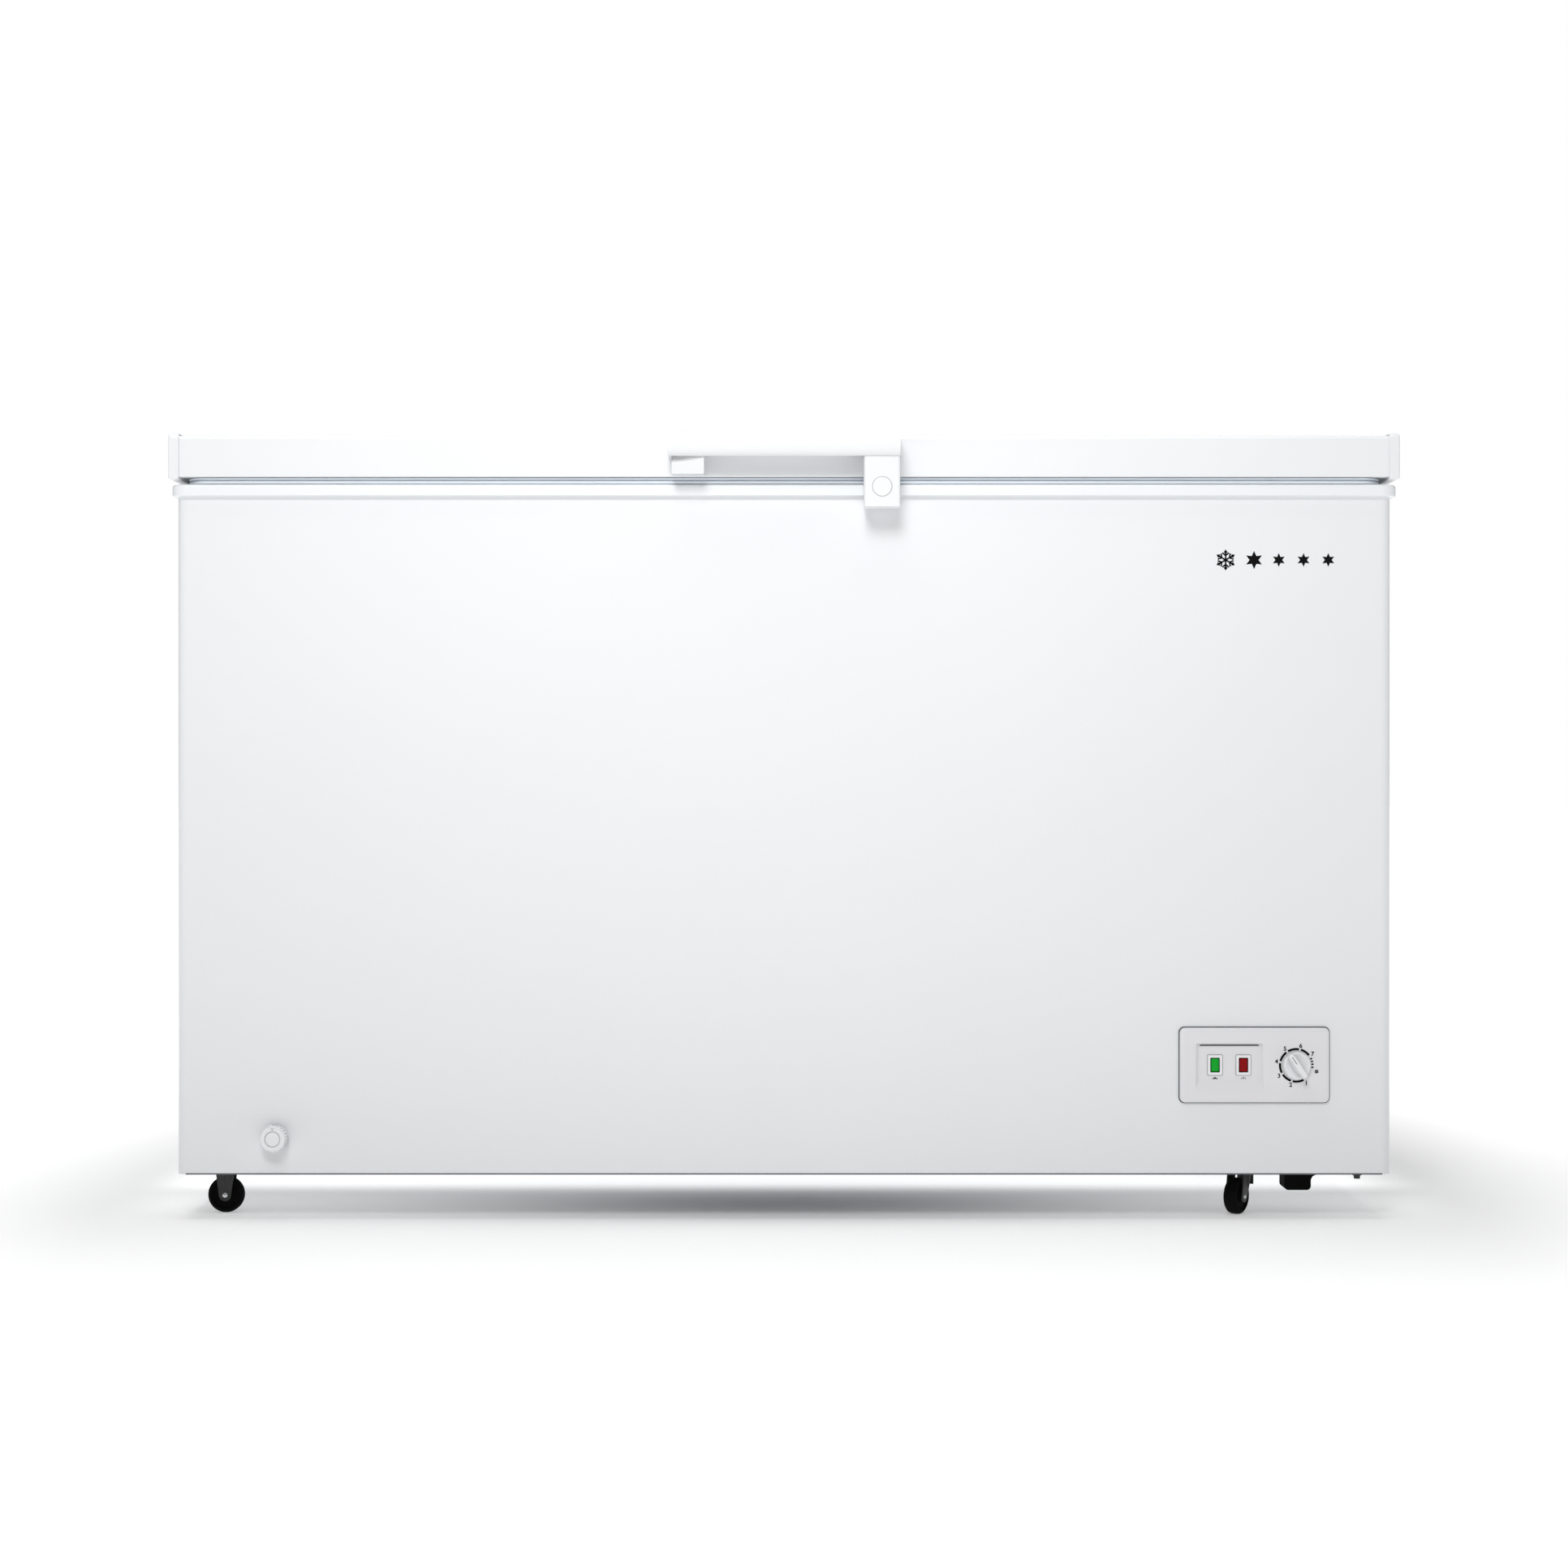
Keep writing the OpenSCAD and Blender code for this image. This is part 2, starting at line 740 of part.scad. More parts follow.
module cord_gland() {
    gland_lip = 3;
    gland_in = 12;
    gland_grip = 2;
    color(black)
        difference() {
            union() {
                bar_y([gland_x, rear_y - gland_in, gland_z], gland_r, gland_in + gland_lip);
                bar_y([gland_x, rear_y, gland_z], gland_r + gland_lip, gland_lip);
                bar_y([gland_x, rear_y - skin_t - gland_lip, gland_z], gland_r + gland_grip, gland_lip);
            }
            bar_y([gland_x, rear_y - gland_in - cut, gland_z], cord_r, gland_in + gland_lip + 2 * cut);
        }
}

// ---- front controls ------------------------------------------------------------------------------

console_r = 5;
recess_r = 3;
tray_in = 6;            // from the panel's edge to its tray behind the sheet
tray_t = 2.5;
face_t = 2;             // thickness of the panel behind the recess
lamp_shoulder = 1.5;    // how far a lamp housing's face overlaps its hole
shaft_room = 1;         // radial gap round the shaft in the panel

module control_panel() {
    tray_w = console_w - 2 * tray_in;
    tray_h = console_h - 2 * tray_in;
    color(white)
        difference() {
            union() {
                translate([console_x, 0, console_mid_z])
                    along_y(console_y, front_y)
                        round_rect(console_w, console_h, console_r);
                translate([console_x, 0, console_mid_z])
                    along_y(front_y - cut, front_y + console_back)
                        square([tray_w, tray_h], center = true);
            }
            translate([console_x, 0, console_mid_z])
                along_y(console_y + recess_d + face_t, front_y + console_back + cut)
                    square([tray_w - 2 * tray_t, tray_h - 2 * tray_t], center = true);
            translate([lamp_x, 0, console_mid_z])
                along_y(console_y - cut, console_y + recess_d)
                    round_rect(recess_w, recess_h, recess_r);
            for (s = [-1, 1])
                translate([lamp_x + s * lamp_pitch / 2, 0, console_mid_z])
                    along_y(console_y - cut, front_y)
                        square([lamp_w - 2 * lamp_shoulder, lamp_h - 2 * lamp_shoulder], center = true);
            bar_y([knob_x, console_y - cut, console_mid_z], shaft_r + shaft_room, console_proud + 2 * cut);
        }
}

lamp_proud = 1.5;
lamp_back = 22;
lamp_end = 4;           // thickness of a lamp housing's back
lens_proud = 0.5;
lens_back = 8;

module lamp_housings() {
    face = console_y + recess_d;
    color(white)
        for (s = [-1, 1])
            translate([lamp_x + s * lamp_pitch / 2, 0, console_mid_z])
                difference() {
                    union() {
                        along_y(face - lamp_proud, face)
                            square([lamp_w, lamp_h], center = true);
                        along_y(face - cut, face + lamp_back)
                            square([lamp_w - 2 * lamp_shoulder, lamp_h - 2 * lamp_shoulder], center = true);
                    }
                    along_y(face - lamp_proud - cut, face + lamp_back - lamp_end)
                        square([lens_w, lens_h], center = true);
                }
}

module lamp_lens(side, tint) {
    face = console_y + recess_d;
    color(tint)
        translate([lamp_x + side * lamp_pitch / 2, 0, console_mid_z])
            along_y(face - lamp_proud - lens_proud, face + lens_back)
                square([lens_w, lens_h], center = true);
}

module running_lamp_lens() {
    lamp_lens(-1, [0.1, 0.68, 0.2]);
}

module power_lamp_lens() {
    lamp_lens(1, [0.6, 0.03, 0.08]);
}

thermostat_back = 4;    // from the panel's tray to the thermostat
thermostat_w = 44;
thermostat_h = 52;
thermostat_l = 32;
thermostat_y = front_y + console_back + thermostat_back;
shaft_in = 16;          // how far the shaft reaches into the thermostat
shaft_end_gap = 4;
neck_t = 4;             // wall of the thermostat's neck round the shaft
knob_cap = 5;           // thickness of the knob before the shaft's end

module thermostat() {
    neck_y = console_y + recess_d + face_t;
    color(dark_grey)
        difference() {
            union() {
                translate([knob_x - thermostat_w / 2, thermostat_y, console_mid_z - thermostat_h / 2])
                    cube([thermostat_w, thermostat_l, thermostat_h]);
                bar_y([knob_x, neck_y, console_mid_z], shaft_r + neck_t, thermostat_y + cut - neck_y);
            }
            bar_y([knob_x, console_y, console_mid_z], shaft_r + shaft_gap,
                thermostat_y + shaft_in + shaft_end_gap - console_y);
        }
}

module thermostat_shaft() {
    y0 = console_y - knob_proud + knob_cap;
    color(steel)
        bar_y([knob_x, y0, console_mid_z], shaft_r, thermostat_y + shaft_in - y0);
}

module thermostat_knob() {
    gap = 0.5;
    skirt = 4;
    grip_w = 6;
    grip_angle = 124;
    grip_short = 1.5;
    step_r = 2;
    step_y = 4;
    color(white)
        translate([knob_x, 0, console_mid_z])
            difference() {
                union() {
                    bar_y([0, console_y - gap - skirt, 0], knob_r, skirt);
                    bar_y([0, console_y - knob_proud + step_y, 0], knob_r - step_r,
                        knob_proud - step_y - gap);
                    along_y(console_y - knob_proud, console_y - gap - cut)
                        rotate(grip_angle)
                            square([2 * (knob_r - grip_short), grip_w], center = true);
                }
                bar_y([0, console_y - knob_proud + knob_cap, 0], shaft_r, knob_proud);
            }
}

// ---- drain ---------------------------------------------------------------------------------------

// The drain's path: level from the front to the sump, then up into the tub
module drain_bore(r) {
    bar_y([drain_x, front_y - cut, drain_mid_z], r, sump_y - front_y + cut + r);
    translate([drain_x, sump_y, drain_mid_z])
        cylinder(r = sump_r + sleeve_t, h = tub_z0 - liner_t - drain_mid_z);
}

module drain_sleeve() {
    inner = drain_tube_r + run_gap;
    end_y = sump_y + inner;
    color(cool_white)
        difference() {
            union() {
                bar_y([drain_x, front_y, drain_mid_z], sleeve_r, sump_y - front_y + sleeve_r);
                translate([drain_x, sump_y, drain_mid_z])
                    cylinder(r = sump_r + sleeve_t, h = tub_z0 - liner_t - drain_mid_z);
            }
            bar_y([drain_x, front_y - cut, drain_mid_z], inner, end_y - front_y + cut);
            translate([drain_x, sump_y, drain_mid_z])
                cylinder(r = sump_r, h = tub_z0 - drain_mid_z);
        }
}

drain_tube_t = 2;
drain_tube_l = 110;
spout_r = 3.5;
spout_in = 5;           // from the dial's rear face to its spout
dial_t = 16;
dial_wall = 2.5;
spout_y = front_y - dial_proud + dial_t - spout_in;

module drain_tube() {
    tip = front_y - dial_proud + dial_wall;
    color(white)
        difference() {
            bar_y([drain_x, tip, drain_mid_z], drain_tube_r, front_y + drain_tube_l - tip);
            bar_y([drain_x, tip + dial_wall, drain_mid_z], drain_tube_r - drain_tube_t,
                drain_tube_l + dial_proud);
            translate([drain_x, spout_y, drain_mid_z - drain_tube_r - cut])
                cylinder(r = spout_r, h = drain_tube_r);
        }
}

rib_count = 24;
rib_r = 0.9;
rib_start = 2;          // from the dial's face to its ribs
rib_short = 3;

module drain_dial() {
    color(white)
        translate([drain_x, 0, drain_mid_z])
            difference() {
                union() {
                    bar_y([0, front_y - dial_proud, 0], dial_r - rib_r, dial_t);
                    for (i = [0 : rib_count - 1])
                        rotate([0, i * 360 / rib_count, 0])
                            bar_y([dial_r - rib_r, front_y - dial_proud + rib_start, 0], rib_r,
                                dial_t - rib_short);
                }
                bar_y([0, front_y - dial_proud + dial_wall, 0], drain_tube_r + run_gap, dial_t);
                translate([0, spout_y, 0])
                    cylinder(r = spout_r, h = dial_r + cut);
            }
}

plug_stem_h = 8;
plug_stem_gap = 0.5;
plug_knob_r = 6;
plug_knob_h = 9;

module drain_plug() {
    color(dark_grey)
        translate([drain_x, sump_y, tub_z0]) {
            cylinder(r = plug_flange_r, h = plug_flange_t);
            translate([0, 0, -plug_stem_h])
                cylinder(r = sump_r - plug_stem_gap, h = plug_stem_h + cut);
            translate([0, 0, plug_flange_t - cut])
                cylinder(r = plug_knob_r, h = plug_knob_h + cut);
        }
}

// ---- castors -------------------------------------------------------------------------------------

castor_span = wheel_w + 2 * cheek_gap;

// Side outline of a fork cheek in (X, Z): wide at the crown, round at the axle, which is at (x, wheel_r)
module cheek_outline(x, crown_z, crown_r, end_r) {
    hull() {
        translate([0, crown_z - 2])
            square([2 * crown_r, 4], center = true);
        translate([x, wheel_r])
            circle(end_r, $fn = 32);
    }
}

// A rigid bracket for a wheel that rolls along X, at the origin
module roller_bracket() {
    crown_z = base_z - castor_plate_t;
    difference() {
        union() {
            translate([-plate_half, -plate_half, crown_z])
                cube([2 * plate_half, 2 * plate_half, castor_plate_t]);
            for (s = [-1, 1])
                translate([0, s * (castor_span + cheek_t) / 2, 0])
                    along_y(-cheek_t / 2, cheek_t / 2)
                        cheek_outline(0, crown_z + cut, fork_top_r, cheek_end_r);
        }
        bar_y([0, -castor_span, wheel_r], axle_r, 2 * castor_span);
        castor_bolt_places()
            translate([0, 0, crown_z - cut])
                cylinder(r = bolt_r, h = castor_plate_t + 2 * cut);
    }
}

module castor_bolt_places() {
    for (sx = [-1, 1], sy = [-1, 1])
        translate([sx * plate_hole, sy * plate_hole, 0])
            children();
}

module at_rollers() {
    for (y = [castor_front_y, castor_rear_y])
        translate([roller_x, y, 0])
            children();
}

module at_swivels() {
    for (y = [castor_front_y, castor_rear_y])
        translate([swivel_x, y, 0])
            children();
}

// Wheel with its axle along Y, centred on the origin
module wheel() {
    edge = 2.5;
    dish = 1.5;
    hub_r = axle_r + 3;
    web_r0 = axle_r + 4;
    web_r1 = wheel_r - 4;
    rotate([90, 0, 0])
        difference() {
            rotate_extrude()
                polygon([[0, -wheel_w / 2], [hub_r, -wheel_w / 2], [web_r0, dish - wheel_w / 2],
                    [web_r1, dish - wheel_w / 2], [wheel_r - edge, -wheel_w / 2],
                    [wheel_r, edge - wheel_w / 2], [wheel_r, wheel_w / 2 - edge],
                    [wheel_r - edge, wheel_w / 2], [web_r1, wheel_w / 2 - dish],
                    [web_r0, wheel_w / 2 - dish], [hub_r, wheel_w / 2], [0, wheel_w / 2]]);
            translate([0, 0, -wheel_w])
                cylinder(r = axle_r + run_gap, h = 2 * wheel_w);
        }
}

// Axle rivet along Y with a head at each end
module axle_rivet() {
    half = castor_span / 2 + cheek_t;
    head_t = 1.5;
    bar_y([0, -half - head_t, 0], axle_r, 2 * (half + head_t));
    for (s = [-1, 1])
        bar_y([0, s * (half + head_t / 2) - head_t / 2, 0], axle_r + head_t, head_t);
}

module roller_brackets() {
    color(dark_grey)
        at_rollers()
            roller_bracket();
}

module roller_axles() {
    color(steel)
        at_rollers()
            translate([0, 0, wheel_r])
                axle_rivet();
}

module roller_wheel_front() {
    color(black)
        translate([roller_x, castor_front_y, wheel_r])
            wheel();
}

module roller_wheel_rear() {
    color(black)
        translate([roller_x, castor_rear_y, wheel_r])
            wheel();
}

module swivel_plates() {
    z0 = base_z - castor_plate_t;
    color(dark_grey)
        at_swivels()
            difference() {
                union() {
                    translate([-plate_half, -plate_half, z0])
                        cube([2 * plate_half, 2 * plate_half, castor_plate_t]);
                    translate([0, 0, z0 - race_t])
                        cylinder(r = race_r, h = race_t + cut);
                    translate([0, 0, z0 - kingpin_l])
                        cylinder(r = kingpin_r, h = kingpin_l + cut);
                    translate([0, 0, z0 - kingpin_l])
                        cylinder(r = kingpin_head_r, h = kingpin_head_t);
                }
                castor_bolt_places()
                    translate([0, 0, z0 - cut])
                        cylinder(r = bolt_r, h = castor_plate_t + 2 * cut);
            }
}

crown_reach = 8;        // from the turning axis to the middle of the crown's straight end
crown_end = 10;
fork_taper = 3;         // how much narrower a swivel's cheek is than its crown

// A swivel fork with its turning axis on the origin and its wheel towards -Y
module swivel_fork() {
    top_z = base_z - castor_plate_t - race_t - race_gap;
    crown_z = top_z - crown_t;
    difference() {
        union() {
            hull() {
                translate([0, 0, crown_z])
                    cylinder(r = fork_top_r, h = top_z - crown_z);
                translate([0, -crown_reach, crown_z])
                    cube([castor_span + 2 * cheek_t, crown_end, 1], center = true);
            }
            for (s = [-1, 1])
                rotate([0, 0, -90])
                    translate([0, s * (castor_span + cheek_t) / 2, 0])
                        along_y(-cheek_t / 2, cheek_t / 2)
                            cheek_outline(trail, crown_z + 2, fork_top_r - fork_taper, cheek_end_r);
        }
        translate([0, 0, crown_z - 2 * cut])
            cylinder(r = kingpin_r + run_gap, h = top_z - crown_z + 4 * cut);
        bar_x([-castor_span, -trail, wheel_r], axle_r, 2 * castor_span);
    }
}

module at_swivel(y, turn) {
    translate([swivel_x, y, 0])
        rotate([0, 0, turn])
            children();
}

module swivel_wheel() {
    translate([0, -trail, wheel_r])
        rotate([0, 0, 90])
            wheel();
}

module swivel_axle() {
    translate([0, -trail, wheel_r])
        rotate([0, 0, 90])
            axle_rivet();
}

module swivel_fork_front() {
    color(dark_grey)
        at_swivel(castor_front_y, swivel_front_turn)
            swivel_fork();
}

module swivel_fork_rear() {
    color(dark_grey)
        at_swivel(castor_rear_y, swivel_rear_turn)
            swivel_fork();
}

module swivel_axle_front() {
    color(steel)
        at_swivel(castor_front_y, swivel_front_turn)
            swivel_axle();
}

module swivel_axle_rear() {
    color(steel)
        at_swivel(castor_rear_y, swivel_rear_turn)
            swivel_axle();
}

module swivel_wheel_front() {
    color(black)
        at_swivel(castor_front_y, swivel_front_turn)
            swivel_wheel();
}

module swivel_wheel_rear() {
    color(black)
        at_swivel(castor_rear_y, swivel_rear_turn)
            swivel_wheel();
}

foot_inset = 94.5;       // from the cabinet's side to the foot
foot_x = cabinet_w / 2 - foot_inset;
foot_w = 29.5;
foot_h = 33.5;
foot_d = 34;

module support_foot() {
    chamfer = 4;
    flare = 7;
    flare_h = 16;
    flare_foot = 23;
    half = foot_w / 2;
    color(black)
        translate([foot_x, 0, base_z])
            along_y(castor_front_y - foot_d / 2, castor_front_y + foot_d / 2)
                polygon([[-half, 0], [-half, chamfer - foot_h], [chamfer - half, -foot_h],
                    [half - chamfer, -foot_h], [half, chamfer - foot_h], [half, -flare_foot],
                    [half + flare, -flare_h], [half + flare, 0]]);
}

// Bolt from below, its head's upper face at the origin
module bolt_up(l) {
    translate([0, 0, -bolt_head_t])
        cylinder(r = bolt_head_r, h = bolt_head_t, $fn = 6);
    translate([0, 0, -cut])
        cylinder(r = bolt_r, h = l + cut);
}

// Screw driven towards -Y, its head's inner face at the origin
module screw_back(l) {
    bar_y([0, -l, 0], screw_r, l + cut);
    bar_y([0, 0, 0], screw_head_r, screw_head_t);
}

hinge_screw_up = 14;    // from the hinge's lower end to its lower screws
hinge_screw_down = 30;  // from the cabinet's top to its upper screws
hinge_screw_in = 7;

module hinge_screw_places() {
    for (sx = [-1, 1], z = [cab_z1 - hinge_h + hinge_screw_up, cab_z1 - hinge_screw_down])
        translate([sx * (hinge_flange_w / 2 - hinge_screw_in), 0, z])
            children();
}

module cabinet_screws() {
    color(steel) {
        for (sx = [-1, 1], sy = [-1, 1])
            translate([machine_x + sx * grommet_x, machine_y + sy * grommet_y, base_z])
                bolt_up(deck_t + grommet_h + feet_t);
        at_rollers()
            castor_bolt_places()
                translate([0, 0, base_z - castor_plate_t])
                    bolt_up(castor_plate_t);
        at_swivels()
            castor_bolt_places()
                translate([0, 0, base_z - castor_plate_t])
                    bolt_up(castor_plate_t);
        for (s = [-1, 1])
            translate([s * hinge_x, rear_y + hinge_t, 0])
                hinge_screw_places()
                    screw_back(hinge_t);
    }
}

// ---- hinges --------------------------------------------------------------------------------------

ear_gap = 2;            // from the frame's back to the hinge's ears
ear_step = 3;           // from the channel's shoulder up to the cabinet's top
flange_down = 12;       // from the cabinet's top to the flange
web_down = 30;          // from the cabinet's top to the channel's back

// One hinge's fixed channel, centred on x = 0
module hinge_base() {
    z0 = cab_z1 - hinge_h;
    back = rear_y + hinge_reach;
    half = hinge_w / 2;
    ear_y = rear_y + frame_over + ear_gap;
    difference() {
        union() {
            translate([-hinge_flange_w / 2, rear_y, z0])
                cube([hinge_flange_w, hinge_t, hinge_h - flange_down]);
            for (s = [-1, 1])
                translate([s * (half - hinge_t / 2), 0, 0])
                    along_x(-hinge_t / 2, hinge_t / 2) {
                        translate([rear_y, z0])
                            square([hinge_reach, hinge_h - ear_step]);
                        translate([ear_y, cab_z1 - ear_step - cut])
                            square([back - ear_y, pin_z - cab_z1 + ear_step + cut]);
                        translate([(ear_y + back) / 2, pin_z])
                            circle((back - ear_y) / 2);
                    }
            block([-half, back - hinge_t, z0], [half, back, cab_z1 - web_down]);
            block([-half, rear_y, seat_z - seat_t], [half, back, seat_z]);
        }
        bar_x([-hinge_w, pin_y, pin_z], pin_r, 2 * hinge_w);
        translate([0, pin_y, seat_z - seat_t - cut])
            cylinder(r = rod_r + rod_gap, h = seat_t + 2 * cut);
        hinge_screw_places()
            bar_y([0, rear_y - cut, 0], screw_r, hinge_t + 2 * cut);
    }
}

arm_up = 3;             // from the lid's lower edge to the arm's plate
arm_leg = 16;           // height of the leg where it leaves the plate

module hinge_arm() {
    plate_z0 = lid_z0 + arm_up;
    bend = [for (a = [-15 : 5 : cam_sweep]) let (r = cam_r - cam_rise * max(a, 0) * PI / 180)
        [pin_y + r * sin(a), pin_z - r * cos(a)]];
    difference() {
        union() {
            translate([-arm_plate_w / 2, lid_y1, plate_z0])
                cube([arm_plate_w, hinge_t, arm_plate_h]);
            bar_x([-barrel_l / 2, pin_y, pin_z], barrel_r, barrel_l);
            along_x(-barrel_l / 2, barrel_l / 2)
                polygon([[lid_y1, plate_z0], [lid_y1, plate_z0 + arm_leg],
                    [lid_y1 + hinge_t, plate_z0 + arm_leg + 2], [pin_y + barrel_r - 1, pin_z + barrel_r / 2],
                    [pin_y, pin_z], [pin_y - barrel_r + 0.5, pin_z + 1]]);
            along_x(-cam_w / 2, cam_w / 2)
                polygon(concat([[pin_y, pin_z]], bend));
        }
        bar_x([-hinge_w, pin_y, pin_z], pin_r + run_gap, 2 * hinge_w);
        arm_screw_places()
            bar_y([0, lid_y1 - cut, 0], screw_r, hinge_t + 2 * cut);
    }
}

arm_screw_up = 10;
arm_screw_down = 6;
arm_screw_in = 5;

module arm_screw_places() {
    for (sx = [-1, 1], dz = [arm_screw_up, arm_plate_h - arm_screw_down])
        translate([sx * (arm_plate_w / 2 - arm_screw_in), 0, lid_z0 + arm_up + dz])
            children();
}

module hinge_plunger() {
    color(steel)
        translate([0, pin_y, 0]) {
            translate([0, 0, plunger_top - 2])
                cylinder(r1 = plunger_cap_r - 1, r2 = 2, h = 2);
            translate([0, 0, plunger_top - plunger_cap_t])
                cylinder(r = plunger_cap_r, h = plunger_cap_t - 2);
            translate([0, 0, seat_z - rod_tail])
                cylinder(r = rod_r, h = plunger_top - plunger_cap_t + cut - seat_z + rod_tail);
        }
}

module hinge_spring() {
    color(steel)
        translate([0, pin_y, seat_z])
            difference() {
                cylinder(r = spring_r, h = spring_l);
                translate([0, 0, -cut])
                    cylinder(r = spring_bore, h = spring_l + 2 * cut);
            }
}

module hinge_pins() {
    color(steel)
        for (s = [-1, 1])
            translate([s * hinge_x, pin_y, pin_z]) {
                bar_x([-hinge_w / 2 - 2, 0, 0], pin_r, hinge_w + 4);
                for (e = [-1, 1])
                    bar_x([e * (hinge_w / 2 + 1) - 1, 0, 0], pin_r + 2, 2);
            }
}

module hinge_base_left() {
    color(white)
        translate([-hinge_x, 0, 0])
            hinge_base();
}

module hinge_base_right() {
    color(white)
        translate([hinge_x, 0, 0])
            hinge_base();
}

module hinge_arms() {
    color(white)
        for (s = [-1, 1])
            translate([s * hinge_x, 0, 0])
                hinge_arm();
}

module hinge_plunger_left() {
    translate([-hinge_x, 0, 0])
        hinge_plunger();
}

module hinge_plunger_right() {
    translate([hinge_x, 0, 0])
        hinge_plunger();
}

module hinge_spring_left() {
    translate([-hinge_x, 0, 0])
        hinge_spring();
}

module hinge_spring_right() {
    translate([hinge_x, 0, 0])
        hinge_spring();
}

// ---- lid -----------------------------------------------------------------------------------------

// Side outline of the lid in (Y, Z), shrunk by g, with round upper edges
module lid_outline(g) {
    r = lid_r - g;
    y0 = lid_y0 + g;
    y1 = lid_y1 - g;
    z0 = lid_z0 + g;
    z1 = lid_z1 - g;
    translate([y0, z0])
        square([y1 - y0, z1 - z0 - r]);
    translate([y0 + r, z0])
        square([y1 - y0 - 2 * r, z1 - z0]);
    for (y = [y0 + r, y1 - r])
        translate([y, z1 - r])
            circle(r);
}

lid_half = lid_w / 2 - cap_t;
cap_seam = 0.2;         // gap between the lid's sheet and an end cap
skin_half = lid_w / 2 - cap_w - cap_seam;

module lid_skin() {
    color(white)
        along_x(-skin_half, skin_half)
            difference() {
                lid_outline(0);
                lid_outline(skin_t);
                translate([lid_y0 + hem_w, lid_z0 - cut])
                    square([lid_y1 - lid_y0 - 2 * hem_w, 2 * cut]);
            }
}

plug_w = tub_w - 2 * plug_gap;
plug_d = tub_d - 2 * plug_gap;
plug_r = 24;

module lid_inner_panel() {
    z0 = lid_z0 + skin_t;
    color(white)
        difference() {
            union() {
                block([-lid_half, lid_y0 + skin_t, z0], [lid_half, lid_y1 - skin_t, z0 + panel_t]);
                prism(plug_w, plug_d, plug_r, z0 - plug_drop, z0 + cut);
            }
            prism(plug_w - 2 * panel_t, plug_d - 2 * panel_t, plug_r - panel_t,
                z0 - plug_drop + panel_t, z0 + panel_t + cut);
        }
}

module lid_foam() {
    z0 = lid_z0 + skin_t;
    color([0.93, 0.87, 0.62]) {
        difference() {
            along_x(-lid_half, lid_half)
                lid_outline(skin_t);
            block([-lid_half - cut, lid_y0, lid_z0], [lid_half + cut, lid_y1, z0 + panel_t]);
        }
        prism(plug_w - 2 * panel_t, plug_d - 2 * panel_t, plug_r - panel_t,
            z0 - plug_drop + panel_t, z0 + panel_t + cut);
    }
}

module lid_gasket() {
    set_back = frame_over - gasket_inset;
    color(cool_white)
        wall_ring(cabinet_w + 2 * set_back, cabinet_d + 2 * set_back, 22, gasket_w,
            frame_z1 + seal_gap, lid_z0 + skin_t);
}

// End cap for the side s: a shallow tray over the lid's end
module lid_end_cap(s) {
    inner = lid_w / 2 - cap_w;
    p = cap_proud;
    x0 = s > 0 ? inner : -lid_w / 2;
    x1 = s > 0 ? lid_w / 2 : -inner;
    c0 = s > 0 ? inner - cut : -lid_half;
    c1 = s > 0 ? lid_half : -inner + cut;
    color(white)
        difference() {
            along_x(x0, x1) {
                translate([lid_y0 - p, lid_z0 - p])
                    square([lid_y1 - lid_y0 + 2 * p, lid_t - lid_r + p]);
                translate([lid_y0 - p + lid_r + p, lid_z0 - p])
                    square([lid_y1 - lid_y0 - 2 * lid_r, lid_t + 2 * p]);
                for (y = [lid_y0 + lid_r, lid_y1 - lid_r])
                    translate([y, lid_z1 - lid_r])
                        circle(lid_r + p);
            }
            along_x(c0, c1)
                lid_outline(skin_t);
        }
}

module lid_end_caps() {
    for (s = [-1, 1])
        lid_end_cap(s);
}

module lid_screws() {
    color(steel)
        for (s = [-1, 1])
            translate([s * hinge_x, lid_y1 + hinge_t, 0])
                arm_screw_places()
                    screw_back(hinge_t);
}

// ---- handle --------------------------------------------------------------------------------------

handle_y0 = lid_y0 - handle_reach;
grip_z0 = lid_z1 - grip_h;
lock_x0 = handle_w / 2 - lock_w;
lock_z0 = lid_z0 - lock_drop;
lock_mid_z = cab_z1 + 7;
housing_gap = 1;

// Outline of the grip in (Y, Z): a flat top and a front bar with a round lower corner
module grip_outline() {
    low_r = grip_t / 2;
    top_r = 3;
    translate([handle_y0 + top_r, lid_z1 - handle_t])
        square([handle_reach - top_r, handle_t]);
    translate([handle_y0, grip_z0 + low_r])
        square([grip_t, grip_h - low_r - top_r]);
    translate([handle_y0 + top_r, grip_z0 + low_r])
        square([grip_t - top_r, grip_h - low_r]);
    translate([handle_y0 + low_r, grip_z0 + low_r])
        circle(low_r);
    translate([handle_y0 + top_r, lid_z1 - top_r])
        circle(top_r);
}

post_in = 4;            // from the grip's end to the post
post_up = 1;            // from the lid's lower edge to the post's foot
post_lean = 8;          // how far the post's foot is set back

module handle_grip() {
    half = handle_w / 2;
    post_x0 = -half + post_in;
    post_y0 = lid_y0 - post_reach;
    color(white) {
        along_x(-half, half)
            grip_outline();
        block([-half, handle_y0 + grip_t - cut, grip_z0], [-half + handle_t, lid_y0, lid_z1]);
        block([half - handle_t, handle_y0 + grip_t - cut, grip_z0], [half, lid_y0, lid_z1]);
        along_x(post_x0, post_x0 + post_w)
            polygon([[lid_y0, lid_z0 + post_up], [post_y0 + post_lean, lid_z0 + post_up],
                [post_y0, grip_z0 + cut],
                [post_y0, lid_z1 - cut], [lid_y0, lid_z1 - cut]]);
    }
}

lock_cap_in = 8;
lock_cap_proud = 0.8;

